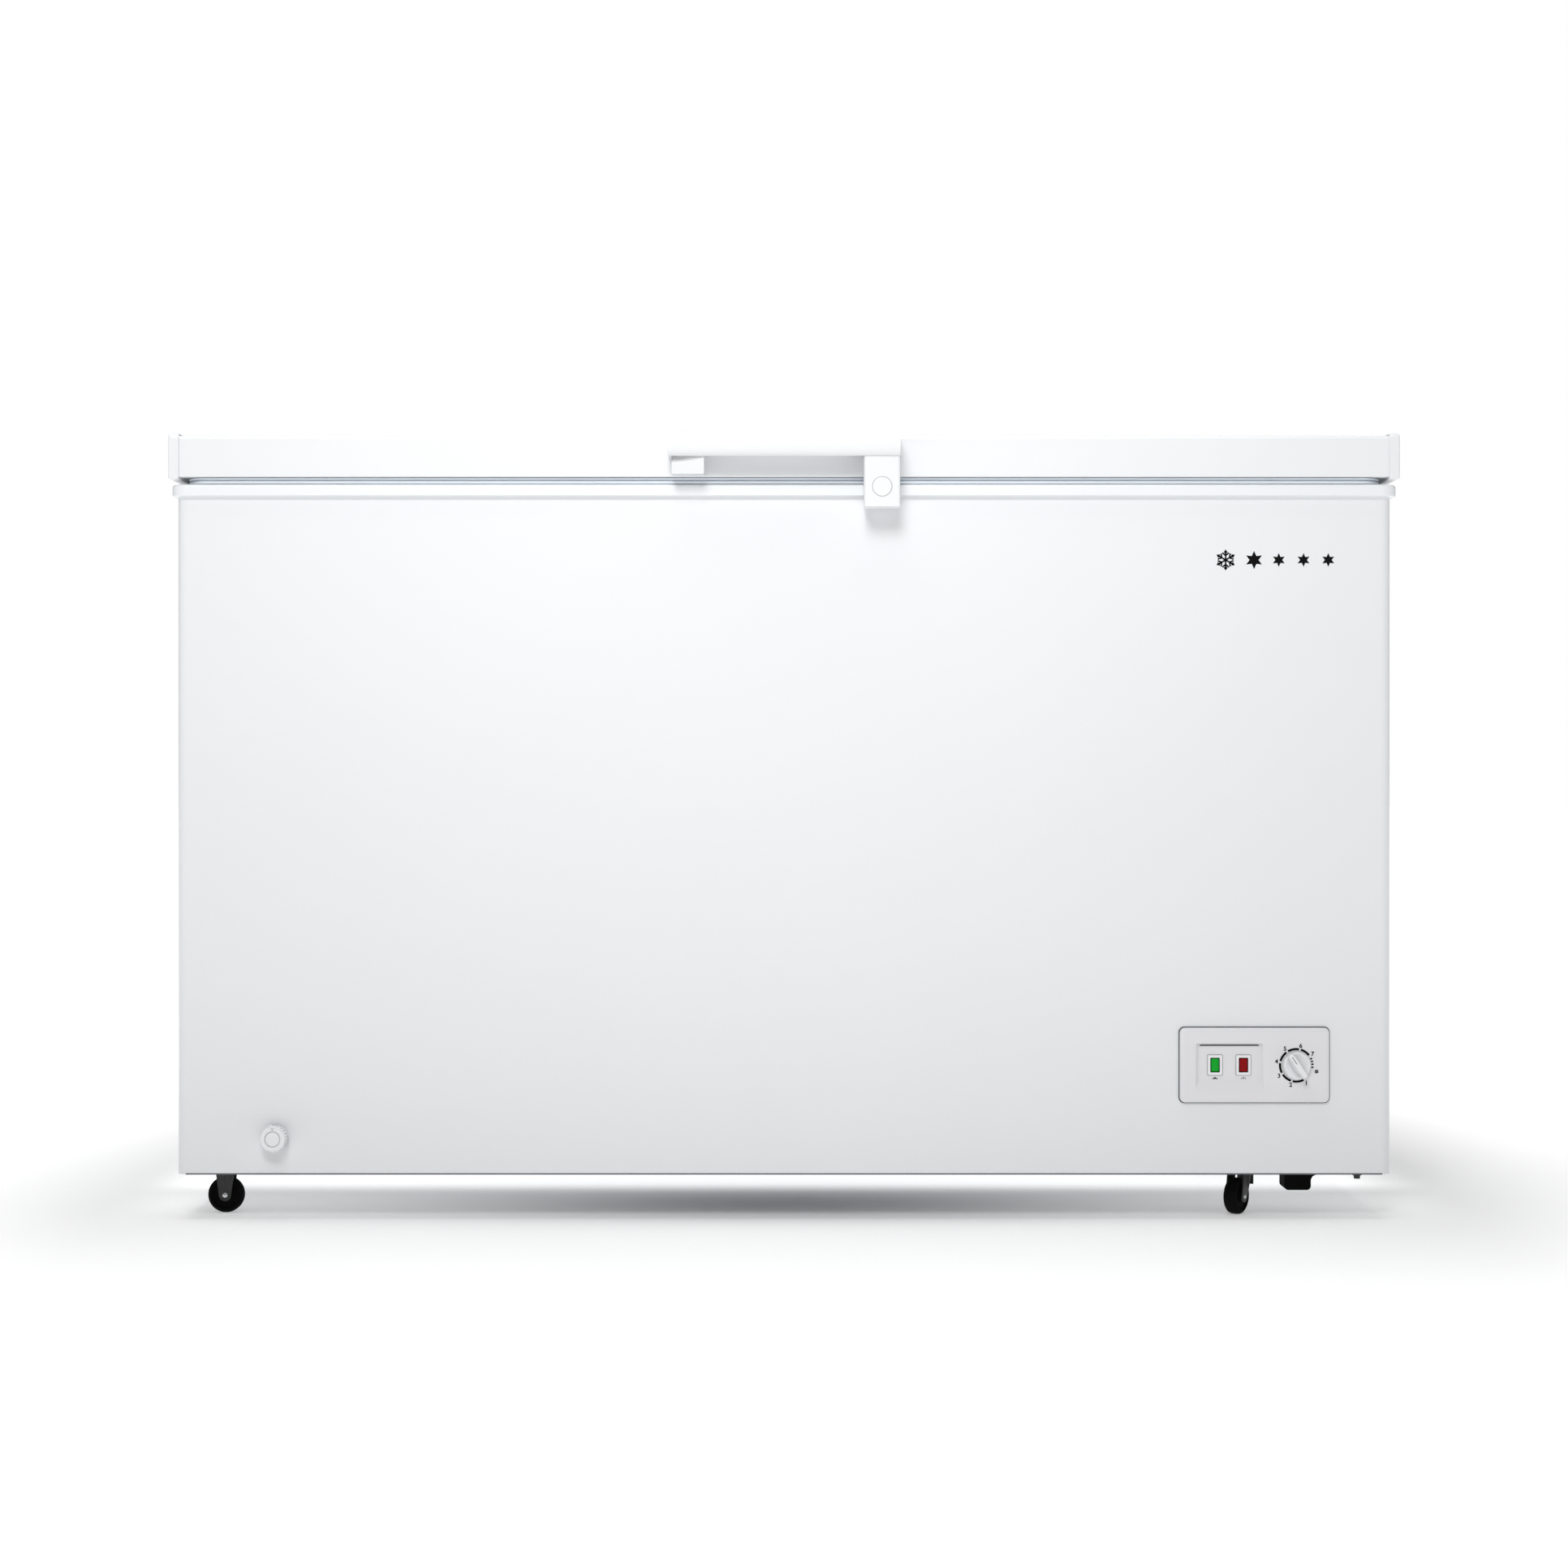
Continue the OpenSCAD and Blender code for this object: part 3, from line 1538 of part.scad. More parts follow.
module lock_housing() {
    y0 = lid_y0 - post_reach;
    edge_r = 3;
    x1 = lock_x0 + lock_w;
    color(white)
        difference() {
            union() {
                translate([0, 0, lock_z0])
                    linear_extrude(grip_z0 - lock_z0) {
                        translate([lock_x0, y0 + edge_r])
                            square([lock_w, post_reach - edge_r - housing_gap]);
                        translate([lock_x0 + edge_r, y0])
                            square([lock_w - 2 * edge_r, edge_r + cut]);
                        for (x = [lock_x0 + edge_r, x1 - edge_r])
                            translate([x, y0 + edge_r])
                                circle(edge_r);
                    }
                block([lock_x0, lid_y0 - housing_gap - cut, lid_z0 + post_up], [x1, lid_y0, grip_z0]);
            }
            bar_y([lock_x0 + lock_w / 2, y0 - cut, lock_mid_z], lock_cap_r, lock_cap_in + cut);
        }
}

module lock_cap() {
    y0 = lid_y0 - post_reach;
    color(white)
        bar_y([lock_x0 + lock_w / 2, y0 - lock_cap_proud, lock_mid_z], lock_cap_r,
            lock_cap_in + lock_cap_proud);
}

// ---- basket --------------------------------------------------------------------------------------

// Lattice of wires over w by h, centred
module wire_net(w, h) {
    nx = ceil(w / mesh_pitch);
    ny = ceil(h / mesh_pitch);
    for (i = [0 : nx])
        translate([-w / 2 + wire_d / 2 + i * (w - wire_d) / nx, 0])
            square([wire_d, h], center = true);
    for (i = [0 : ny])
        translate([0, -h / 2 + wire_d / 2 + i * (h - wire_d) / ny])
            square([w, wire_d], center = true);
}

net_w = basket_l - rim_d;
net_d = basket_d - rim_d;
net_r = basket_r - rim_d / 2;

module basket_rim() {
    hook_end = tub_d / 2 - liner_t - lip_t + ledge_w - hook_gap;
    hook_z = ledge_z + basket_rest;
    color(white)
        translate([basket_x, 0, 0]) {
            wall_ring(basket_l, basket_d, basket_r, rim_d, rim_z - rim_d, rim_z);
            for (sx = [-1, 1], sy = [-1, 1])
                translate([sx * hook_pitch / 2, mid_y, 0])
                    scale([1, sy, 1])
                        along_x(-rim_d / 2, rim_d / 2)
                            polygon([[basket_d / 2 - rim_d, rim_z - rim_d], [basket_d / 2, rim_z - rim_d],
                                [basket_d / 2, hook_z], [hook_end, hook_z], [hook_end, hook_z + hook_t],
                                [basket_d / 2 - rim_d, hook_z + hook_t]]);
        }
}

module basket_floor() {
    color(white)
        translate([basket_x, 0, 0]) {
            wall_ring(net_w, net_d, net_r, wire_d, basket_z0, basket_z0 + wire_d);
            intersection() {
                translate([0, mid_y, basket_z0])
                    linear_extrude(wire_d)
                        wire_net(net_w, net_d);
                prism(net_w, net_d, net_r, basket_z0 - cut, basket_z0 + wire_d + cut);
            }
        }
}

// Four flat nets that stand on the basket's floor, under its rim
module basket_sides() {
    h = rim_z - rim_d - basket_z0 - wire_d;
    color(white)
        translate([basket_x, mid_y, basket_z0 + wire_d + h / 2])
            for (s = [-1, 1]) {
                translate([s * (net_w - wire_d) / 2, 0, 0])
                    along_x(-wire_d / 2, wire_d / 2)
                        wire_net(net_d - 2 * net_r, h);
                translate([0, s * (net_d - wire_d) / 2, 0])
                    along_y(-wire_d / 2, wire_d / 2)
                        wire_net(net_w - 2 * net_r, h);
            }
}

// ---- nodes ---------------------------------------------------------------------------------------

cabinet_shell();
rear_panel();
base_panel();
inner_liner();
insulation_foam();
top_frame();
evaporator_tube();
condenser_tube();
vent_grille();
compressor_deck();
compressor();
compressor_grommets();
relay_cover();
filter_drier();
refrigerant_pipes();
thermostat();
cord_gland();
control_panel();
lamp_housings();
running_lamp_lens();
power_lamp_lens();
thermostat_shaft();
thermostat_knob();
drain_sleeve();
drain_tube();
drain_dial();
drain_plug();
roller_brackets();
roller_axles();
roller_wheel_front();
roller_wheel_rear();
swivel_plates();
swivel_fork_front();
swivel_fork_rear();
swivel_axle_front();
swivel_axle_rear();
swivel_wheel_front();
swivel_wheel_rear();
support_foot();
cabinet_screws();
hinge_base_left();
hinge_base_right();
hinge_pins();
hinge_spring_left();
hinge_spring_right();
hinge_plunger_left();
hinge_plunger_right();
hinge_arms();
lid_skin();
lid_end_caps();
lid_inner_panel();
lid_foam();
lid_gasket();
lid_screws();
handle_grip();
lock_housing();
lock_cap();
basket_rim();
basket_floor();
basket_sides();
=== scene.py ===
"""Chest freezer on castors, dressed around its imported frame.

Lengths are in metres. +X is to the right seen from the front, the front faces -Y and z = 0 is the floor.
"""

import logging
import math
from dataclasses import dataclass, field
from enum import Enum
from functools import lru_cache
from typing import Iterable, Iterator, Sequence

import bmesh
import bpy
from mathutils import Matrix, Vector


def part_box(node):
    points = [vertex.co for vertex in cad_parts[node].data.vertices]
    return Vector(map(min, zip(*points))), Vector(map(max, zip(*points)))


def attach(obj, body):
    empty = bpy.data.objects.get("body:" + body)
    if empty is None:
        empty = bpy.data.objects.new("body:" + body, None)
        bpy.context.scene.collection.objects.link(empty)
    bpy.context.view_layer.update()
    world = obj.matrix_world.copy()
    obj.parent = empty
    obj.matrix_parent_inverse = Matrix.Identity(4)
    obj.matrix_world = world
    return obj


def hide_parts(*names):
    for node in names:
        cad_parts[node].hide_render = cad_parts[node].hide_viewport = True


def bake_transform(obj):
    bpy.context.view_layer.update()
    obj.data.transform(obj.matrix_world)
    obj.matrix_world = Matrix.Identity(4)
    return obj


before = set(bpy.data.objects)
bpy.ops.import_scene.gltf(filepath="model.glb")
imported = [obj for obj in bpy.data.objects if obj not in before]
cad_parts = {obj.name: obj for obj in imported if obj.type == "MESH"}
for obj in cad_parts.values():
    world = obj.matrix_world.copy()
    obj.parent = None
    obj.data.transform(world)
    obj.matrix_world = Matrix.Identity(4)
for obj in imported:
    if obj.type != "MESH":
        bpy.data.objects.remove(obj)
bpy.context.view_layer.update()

log = logging.getLogger("freezer")

Colour = tuple[float, float, float]
Flat = tuple[float, float]


# ---- shader toolkit ------------------------------------------------------------------------------


class Signal:
    """A value on its way through a material. Arithmetic on it adds Math nodes."""

    def __init__(self, graph: "Graph", socket: bpy.types.NodeSocket) -> None:
        """Wraps one output socket of the graph."""
        self.graph = graph
        self.socket = socket

    def _math(self, operation: str, *values: "Signal | float") -> "Signal":
        """Adds one Math node on the values and returns its result."""
        return self.graph.signal("ShaderNodeMath", {"operation": operation}, dict(enumerate(values)))

    def __add__(self, other: "Signal | float") -> "Signal":
        """Sum."""
        return self._math("ADD", self, other)

    def __sub__(self, other: "Signal | float") -> "Signal":
        """Difference."""
        return self._math("SUBTRACT", self, other)

    def __rsub__(self, other: float) -> "Signal":
        """Difference from a number."""
        return self._math("SUBTRACT", other, self)

    def __mul__(self, other: "Signal | float") -> "Signal":
        """Product."""
        return self._math("MULTIPLY", self, other)

    __radd__ = __add__
    __rmul__ = __mul__

    def power(self, exponent: float) -> "Signal":
        """The value raised to a power."""
        return self._math("POWER", self, exponent)

    def sine(self) -> "Signal":
        """Sine of the value."""
        return self._math("SINE", self)

    def above(self, edge: float, blur: float) -> "Signal":
        """Mask that rises from 0 to 1 across an edge.

        Args:
            edge: the value at the middle of the rise.
            blur: how wide the rise is.

        Returns:
            The mask.
        """
        return self.graph.signal("ShaderNodeMapRange", {"interpolation_type": "SMOOTHSTEP"},
            {"Value": self, "From Min": edge - blur / 2, "From Max": edge + blur / 2})


class Graph:
    """The node tree of one material."""

    def __init__(self, name: str) -> None:
        """Starts a material with one Principled shader."""
        self.material = bpy.data.materials.new(name)
        self.material.use_nodes = True
        self.tree = self.material.node_tree
        self.tree.nodes.clear()
        self.shader = self.node("ShaderNodeBsdfPrincipled")
        self.node("ShaderNodeOutputMaterial", {}, {"Surface": self.shader.outputs["BSDF"]})

    def feed(self, socket: bpy.types.NodeSocket, value: object) -> None:
        """Links a signal or a socket, or sets a constant, on an input socket.

        Args:
            socket: the input.
            value: a Signal, an output socket, a number, a colour or a vector.
        """
        if isinstance(value, Signal):
            value = value.socket
        if isinstance(value, bpy.types.NodeSocket):
            self.tree.links.new(value, socket)
        elif isinstance(value, tuple) and socket.type == "RGBA":
            socket.default_value = (*value, 1.0)
        else:
            socket.default_value = value

    def node(self, kind: str, settings: dict | None = None, inputs: dict | None = None) -> bpy.types.Node:
        """Adds a node.

        Args:
            kind: the node's type.
            settings: its settings, set first.
            inputs: values or links of its sockets, by name or number.

        Returns:
            The node.
        """
        made = self.tree.nodes.new(kind)
        for name, value in (settings or {}).items():
            setattr(made, name, value)
        for key, value in (inputs or {}).items():
            self.feed(made.inputs[key], value)
        return made

    def signal(self, kind: str, settings: dict, inputs: dict, output: str | int = 0) -> Signal:
        """Adds a node and returns one of its outputs."""
        return Signal(self, self.node(kind, settings, inputs).outputs[output])

    def place(self, scale: Sequence[float] = (1.0, 1.0, 1.0)) -> Signal:
        """The point on the surface, in the frame's metres, in a space stretched by a scale."""
        where = self.node("ShaderNodeTexCoord").outputs["Object"]
        return self.signal("ShaderNodeMapping", {}, {"Vector": where, "Scale": tuple(scale)})

    def axis(self, name: str) -> Signal:
        """One coordinate of the point on the surface, "X", "Y" or "Z"."""
        return self.signal("ShaderNodeSeparateXYZ", {}, {"Vector": self.place()}, name)

    def noise(self, size: float, detail: float = 2.0,
              stretch: Sequence[float] = (1.0, 1.0, 1.0)) -> Signal:
        """Cloudy noise from 0 to 1.

        Args:
            size: width of one cloud, in metres.
            detail: how many finer layers it has.
            stretch: how much shorter the clouds are along each axis.

        Returns:
            The noise.
        """
        return self.signal("ShaderNodeTexNoise", {},
            {"Vector": self.place(stretch), "Scale": 1 / size, "Detail": detail, "Roughness": 0.5})

    def cells(self, size: float, feature: str = "F1", output: str = "Distance") -> Signal:
        """Voronoi cells: a distance, or a colour of each cell."""
        return self.signal("ShaderNodeTexVoronoi", {"feature": feature},
            {"Vector": self.place(), "Scale": 1 / size}, output)

    def mix(self, factor: Signal | float, first: "Signal | Colour", second: "Signal | Colour") -> Signal:
        """Blends two colours."""
        return self.signal("ShaderNodeMix", {"data_type": "RGBA"}, {0: factor, 6: first, 7: second}, 2)

    def bell(self, distance: Signal) -> Signal:
        """A smooth bump: one at no distance, fading to nothing as the distance grows."""
        return self.signal("ShaderNodeMath", {"operation": "EXPONENT"}, {0: distance * -1.0})

    def crevice(self, reach: float) -> Signal:
        """Mask that is 0 in the open and 1 deep in a corner, within a reach in metres."""
        open_air = self.signal("ShaderNodeAmbientOcclusion", {"samples": 4}, {"Distance": reach}, "AO")
        return 1 - open_air

    def bump(self, height: Signal) -> Signal:
        """Normal of a surface that is raised by a height in metres."""
        return self.signal("ShaderNodeBump", {}, {"Height": height, "Distance": 1.0, "Strength": 1.0})


def shade(colour: Colour, share: float) -> Colour:
    """The colour made lighter or darker by a share of itself."""
    return tuple(min(max(c * (1 + share), 0.0), 1.0) for c in colour)


@dataclass(frozen=True)
class Finish:
    """A plain moulded or painted surface, with mottled colour, uneven gloss and a fine grain.

    mottle is how far the colour strays as a share, over clouds mottle_size wide. grain is the depth of the
    surface's texture and grain_size its width. painted_corner_shade is how much shade is painted into the
    colour in corners and recesses, from an ambient-occlusion mask.
    """

    name: str
    slot: str
    colour: Colour
    roughness: float
    metallic: float = 0.0
    coat: float = 0.0
    mottle: float = 0.02
    mottle_size: float = 0.12
    grain: float = 0.0
    grain_size: float = 0.001
    uneven: float = 0.06
    painted_corner_shade: float = 0.0

    def tone(self, graph: Graph) -> Signal:
        """Colour over the surface, with painted shade in its corners and recesses when that is set."""
        clouds = graph.noise(self.mottle_size, 4.0)
        tone = graph.mix(clouds, shade(self.colour, -self.mottle), shade(self.colour, self.mottle))
        # Painted shade: an ambient-occlusion mask darkens the colour in corners and recesses, where shade
        # falls.
        if self.painted_corner_shade:
            tone = graph.mix(graph.crevice(0.006) * self.painted_corner_shade, tone, shade(self.colour, -0.55))
        return tone

    def gloss(self, graph: Graph) -> Signal:
        """Roughness over the surface."""
        return graph.noise(self.mottle_size / 5, 5.0) * (2 * self.uneven) + (self.roughness - self.uneven)

    def relief(self, graph: Graph) -> Signal | None:
        """Height of the surface's texture, in metres."""
        if not self.grain:
            return None
        return graph.noise(self.grain_size, 2.0) * self.grain

    def shine(self, graph: Graph) -> None:
        """Sets the shader's constants."""
        graph.feed(graph.shader.inputs["Metallic"], self.metallic)
        graph.feed(graph.shader.inputs["Coat Weight"], self.coat)
        graph.feed(graph.shader.inputs["Coat Roughness"], 0.12)

    def material(self) -> bpy.types.Material:
        """The material, made once."""
        return made_once(self)

    def build(self) -> bpy.types.Material:
        """Makes the material's nodes."""
        graph = Graph(self.name)
        self.shine(graph)
        graph.feed(graph.shader.inputs["Base Color"], self.tone(graph))
        graph.feed(graph.shader.inputs["Roughness"], self.gloss(graph))
        height = self.relief(graph)
        if height is not None:
            graph.feed(graph.shader.inputs["Normal"], graph.bump(height))
        return graph.material


@lru_cache(maxsize=None)
def made_once(finish: Finish) -> bpy.types.Material:
    """Builds each finish's material the first time it is asked for."""
    return finish.build()


@dataclass(frozen=True)
class Enamel(Finish):
    """Powder-coated sheet: an orange-peel skin over sheet that is never quite flat."""

    wave: float = 0.00025
    wave_size: float = 0.45

    def relief(self, graph: Graph) -> Signal:
        """Slow waves of the sheet under the coat's fine peel."""
        return graph.noise(self.wave_size, 1.0) * self.wave + graph.noise(self.grain_size, 1.5) * self.grain


@dataclass(frozen=True)
class Stucco(Finish):
    """Embossed aluminium sheet, as rolled for a freezer's tub."""

    def relief(self, graph: Graph) -> Signal:
        """Rounded pebbles beside each other, each with a soft hollow round it."""
        pebbles = graph.cells(self.grain_size, "SMOOTH_F1")
        return (1 - pebbles) * self.grain + graph.noise(0.25, 2.0) * 0.0004


@dataclass(frozen=True)
class Spangle(Finish):
    """Galvanised sheet, with the zinc's large frosted crystals."""

    crystal: float = 0.01

    def crystals(self, graph: Graph, channel: str) -> Signal:
        """A random number for each crystal, one for "Red" and another for "Green"."""
        return graph.signal("ShaderNodeSeparateColor", {},
            {"Color": graph.cells(self.crystal, "F1", "Color")}, channel)

    def tone(self, graph: Graph) -> Signal:
        """Each crystal a little lighter or darker, with faint streaks."""
        spread = self.crystals(graph, "Red") * 0.7 + graph.noise(0.006, 3.0, (1.0, 1.0, 6.0)) * 0.3
        return graph.mix(spread, shade(self.colour, -0.09), shade(self.colour, 0.05))

    def gloss(self, graph: Graph) -> Signal:
        """Each crystal frosted differently."""
        return self.crystals(graph, "Green") * 0.2 + (self.roughness - 0.1)


@dataclass(frozen=True)
class Brushed(Finish):
    """Drawn or turned metal with fine streaks along one axis."""

    streak: Sequence[float] = (1.0, 1.0, 1.0)

    def relief(self, graph: Graph) -> Signal:
        """Fine scratches."""
        return graph.noise(self.grain_size, 2.0, self.streak) * self.grain


@dataclass(frozen=True)
class Rubber(Finish):
    """Dull rubber with a dusty bloom on it."""

    def tone(self, graph: Graph) -> Signal:
        """Dark rubber under patches of dust."""
        dust = graph.noise(0.012, 5.0).above(0.62, 0.25)
        return graph.mix(dust * 0.35, self.colour, shade(self.colour, 2.2))

    def shine(self, graph: Graph) -> None:
        """Dulls the shine."""
        super().shine(graph)
        graph.feed(graph.shader.inputs["Specular IOR Level"], 0.15)


@dataclass(frozen=True)
class Lens(Finish):
    """Tinted lamp lens, lit from behind, with a fine prism pattern inside."""

    glow: float = 0.3

    def tone(self, graph: Graph) -> Signal:
        """Brighter in the middle of each prism."""
        prisms = (graph.axis("X") * 5200).sine() * (graph.axis("Z") * 5200).sine()
        return graph.mix(prisms * 0.5 + 0.5, shade(self.colour, -0.25), shade(self.colour, 0.2))

    def shine(self, graph: Graph) -> None:
        """Adds the lamp's own light."""
        super().shine(graph)
        graph.feed(graph.shader.inputs["Emission Color"], self.tone(graph))
        graph.feed(graph.shader.inputs["Emission Strength"], self.glow)
        graph.feed(graph.shader.inputs["Specular IOR Level"], 0.15)


@dataclass(frozen=True)
class Foam(Finish):
    """Rigid foam with a cellular skin."""

    def relief(self, graph: Graph) -> Signal:
        """Cells and lumps."""
        return graph.cells(self.grain_size) * self.grain + graph.noise(0.03, 3.0) * 0.001


WHITE: Colour = (0.83, 0.845, 0.86)
WHITE_ENAMEL = Enamel("white_enamel", "white_enamel", WHITE, 0.34, coat=0.25, mottle=0.008,
    grain=0.000007, grain_size=0.0022, uneven=0.04)
WHITE_PLASTIC = Finish("white_plastic", "white_plastic", (0.82, 0.83, 0.84), 0.4, mottle=0.012,
    grain=0.000006, grain_size=0.0006)
FRAME_PLASTIC = Finish("frame_plastic", "white_plastic", (0.84, 0.86, 0.88), 0.38, mottle=0.012,
    grain=0.000006, grain_size=0.0008)
# The panel, dial and seal finishes carry painted shade in their recesses, grooves and folds.
PANEL_PLASTIC = Finish("panel_plastic", "white_plastic", (0.8, 0.795, 0.81), 0.3, mottle=0.01,
    grain=0.000008, grain_size=0.0005, painted_corner_shade=0.75)
DIAL_PLASTIC = Finish("dial_plastic", "white_plastic", (0.87, 0.875, 0.89), 0.3, mottle=0.012,
    grain=0.000005, grain_size=0.0006, painted_corner_shade=0.6)
INNER_PLASTIC = Finish("inner_plastic", "white_plastic", (0.82, 0.83, 0.84), 0.45, mottle=0.015,
    grain=0.00002, grain_size=0.0012)
STUCCO = Stucco("stucco_liner", "liner_enamel", (0.8, 0.815, 0.83), 0.36, metallic=0.55, grain=0.0009,
    grain_size=0.0085, uneven=0.05)
ZINC = Spangle("zinc_sheet", "zinc_sheet", (0.62, 0.64, 0.66), 0.38, metallic=0.85)
STEEL = Brushed("bright_steel", "bright_steel", (0.68, 0.69, 0.7), 0.26, metallic=1.0, grain=0.00001,
    grain_size=0.0012, streak=(1.0, 1.0, 8.0))
ALLOY = Brushed("tube_alloy", "tube_alloy", (0.7, 0.71, 0.72), 0.34, metallic=1.0, grain=0.00001,
    grain_size=0.002, streak=(0.2, 0.2, 3.0))
FOAM = Foam("cream_foam", "foam", (0.85, 0.72, 0.36), 0.85, mottle=0.08, grain=0.0012, grain_size=0.004)
SEAL = Finish("seal_vinyl", "gasket_grey", (0.76, 0.81, 0.87), 0.5, mottle=0.03, grain=0.00001,
    grain_size=0.0008, painted_corner_shade=0.2)
BLACK_ENAMEL = Enamel("black_enamel", "black_enamel", (0.012, 0.012, 0.014), 0.35, coat=0.4, mottle=0.1,
    grain=0.00002, grain_size=0.002, wave=0.0)
BLACK_PLASTIC = Finish("black_plastic", "black_plastic", (0.014, 0.014, 0.015), 0.5, mottle=0.15,
    grain=0.00002, grain_size=0.0007)
TYRE = Rubber("black_rubber", "black_rubber", (0.002, 0.002, 0.002), 0.9, grain=0.00002, grain_size=0.0006)
FORK_STEEL = Enamel("fork_steel", "dark_steel", (0.035, 0.035, 0.036), 0.42, metallic=0.3, mottle=0.2,
    mottle_size=0.01, grain=0.00001, grain_size=0.0008, wave=0.0)
COPPER = Brushed("copper_tube", "copper_tube", (0.72, 0.36, 0.2), 0.3, metallic=1.0, mottle=0.15,
    mottle_size=0.02, grain=0.00001, grain_size=0.002)
GREEN_LENS = Lens("green_lens", "green_lens", (0.003, 0.3, 0.02), 0.4, glow=0.25)
RED_LENS = Lens("red_lens", "red_lens", (0.2, 0.0005, 0.001), 0.4, glow=0.3)
COATED_WIRE = Finish("coated_wire", "basket_wire", (0.85, 0.86, 0.87), 0.35, coat=0.2, mottle=0.02,
    grain=0.00003, grain_size=0.003)
INK = Rubber("black_print", "black_plastic", (0.003, 0.003, 0.003), 0.9, grain=0.000004, grain_size=0.0006)
# Dark grey for printed marks, and for painted shade lines at the hem, round the panel and bezels, and under
# the recess's top edge.
GREY_PRINT_AND_SHADE = Finish("grey_print_and_shade", "black_plastic", (0.12, 0.12, 0.13), 0.5, mottle=0.1, grain=0.000004,
    grain_size=0.0006)


# ---- mesh toolkit --------------------------------------------------------------------------------


class Axis(Enum):
    """The axis that a flat outline is drawn out along."""

    X = 0
    Y = 1
    Z = 2

    def point(self, u: float, v: float, along: float) -> Vector:
        """The point at u and v across the axis: (Y, Z), (X, Z) or (X, Y)."""
        places = {Axis.X: (along, u, v), Axis.Y: (u, along, v), Axis.Z: (u, v, along)}
        return Vector(places[self])


class Carve(Enum):
    """What one shape does to another."""

    TAKE_AWAY = "DIFFERENCE"
    JOIN = "UNION"


@dataclass(frozen=True)
class Box:
    """A node's box at rest."""

    low: Vector
    high: Vector

    @classmethod
    def of(cls, node: str) -> "Box":
        """The box of a CAD node."""
        return cls(*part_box(node))

    @property
    def middle(self) -> Vector:
        """The box's centre."""
        return (self.low + self.high) / 2

    @property
    def size(self) -> Vector:
        """The box's lengths along X, Y and Z."""
        return self.high - self.low


def box_of(node: str) -> Box:
    """A dataclass field that holds a CAD node's box."""
    return field(default_factory=lambda: Box.of(node))


def arc(centre: Flat, radius: float, start: float, end: float, steps: int) -> list[Flat]:
    """Points on an arc, both ends included.

    Args:
        centre: its centre.
        radius: its radius.
        start: angle of the first point, in degrees.
        end: angle of the last point, in degrees.
        steps: how many chords it has.

    Returns:
        The points.
    """
    angles = [math.radians(start + (end - start) * i / steps) for i in range(steps + 1)]
    return [(centre[0] + radius * math.cos(a), centre[1] + radius * math.sin(a)) for a in angles]


def round_rect(low: Flat, high: Flat, radius: float, steps: int = 8) -> list[Flat]:
    """Outline of a rectangle with round corners, anticlockwise from the lower right corner.

    Args:
        low: its lowest corner.
        high: its highest corner.
        radius: the corners' radius.
        steps: chords in each corner.

    Returns:
        The outline, with the same number of points at any radius.
    """
    r = max(radius, 1e-5)
    (x0, y0), (x1, y1) = low, high
    corners = [((x1 - r, y0 + r), -90), ((x1 - r, y1 - r), 0), ((x0 + r, y1 - r), 90),
        ((x0 + r, y0 + r), 180)]
    return [p for centre, start in corners for p in arc(centre, r, start, start + 90, steps)]


def bent_path(points: Sequence[Sequence[float]], radius: float, steps: int = 5) -> list[Vector]:
    """Straight runs between points with round bends, as a wire is bent.

    Args:
        points: the corners.
        radius: the bends' radius.
        steps: chords in each bend.

    Returns:
        The path's points.
    """
    p = [Vector(q) for q in points]
    path = [p[0]]
    for a, b, c in zip(p, p[1:], p[2:]):
        into, out = (b - a).normalized(), (c - b).normalized()
        half = into.angle(out) / 2
        reach = min(radius * math.tan(half), (b - a).length / 2, (c - b).length / 2)
        start, end = b - into * reach, b + out * reach
        for i in range(steps + 1):
            t = i / steps
            path.append(start.lerp(b, t).lerp(b.lerp(end, t), t))
    return path + [p[-1]]


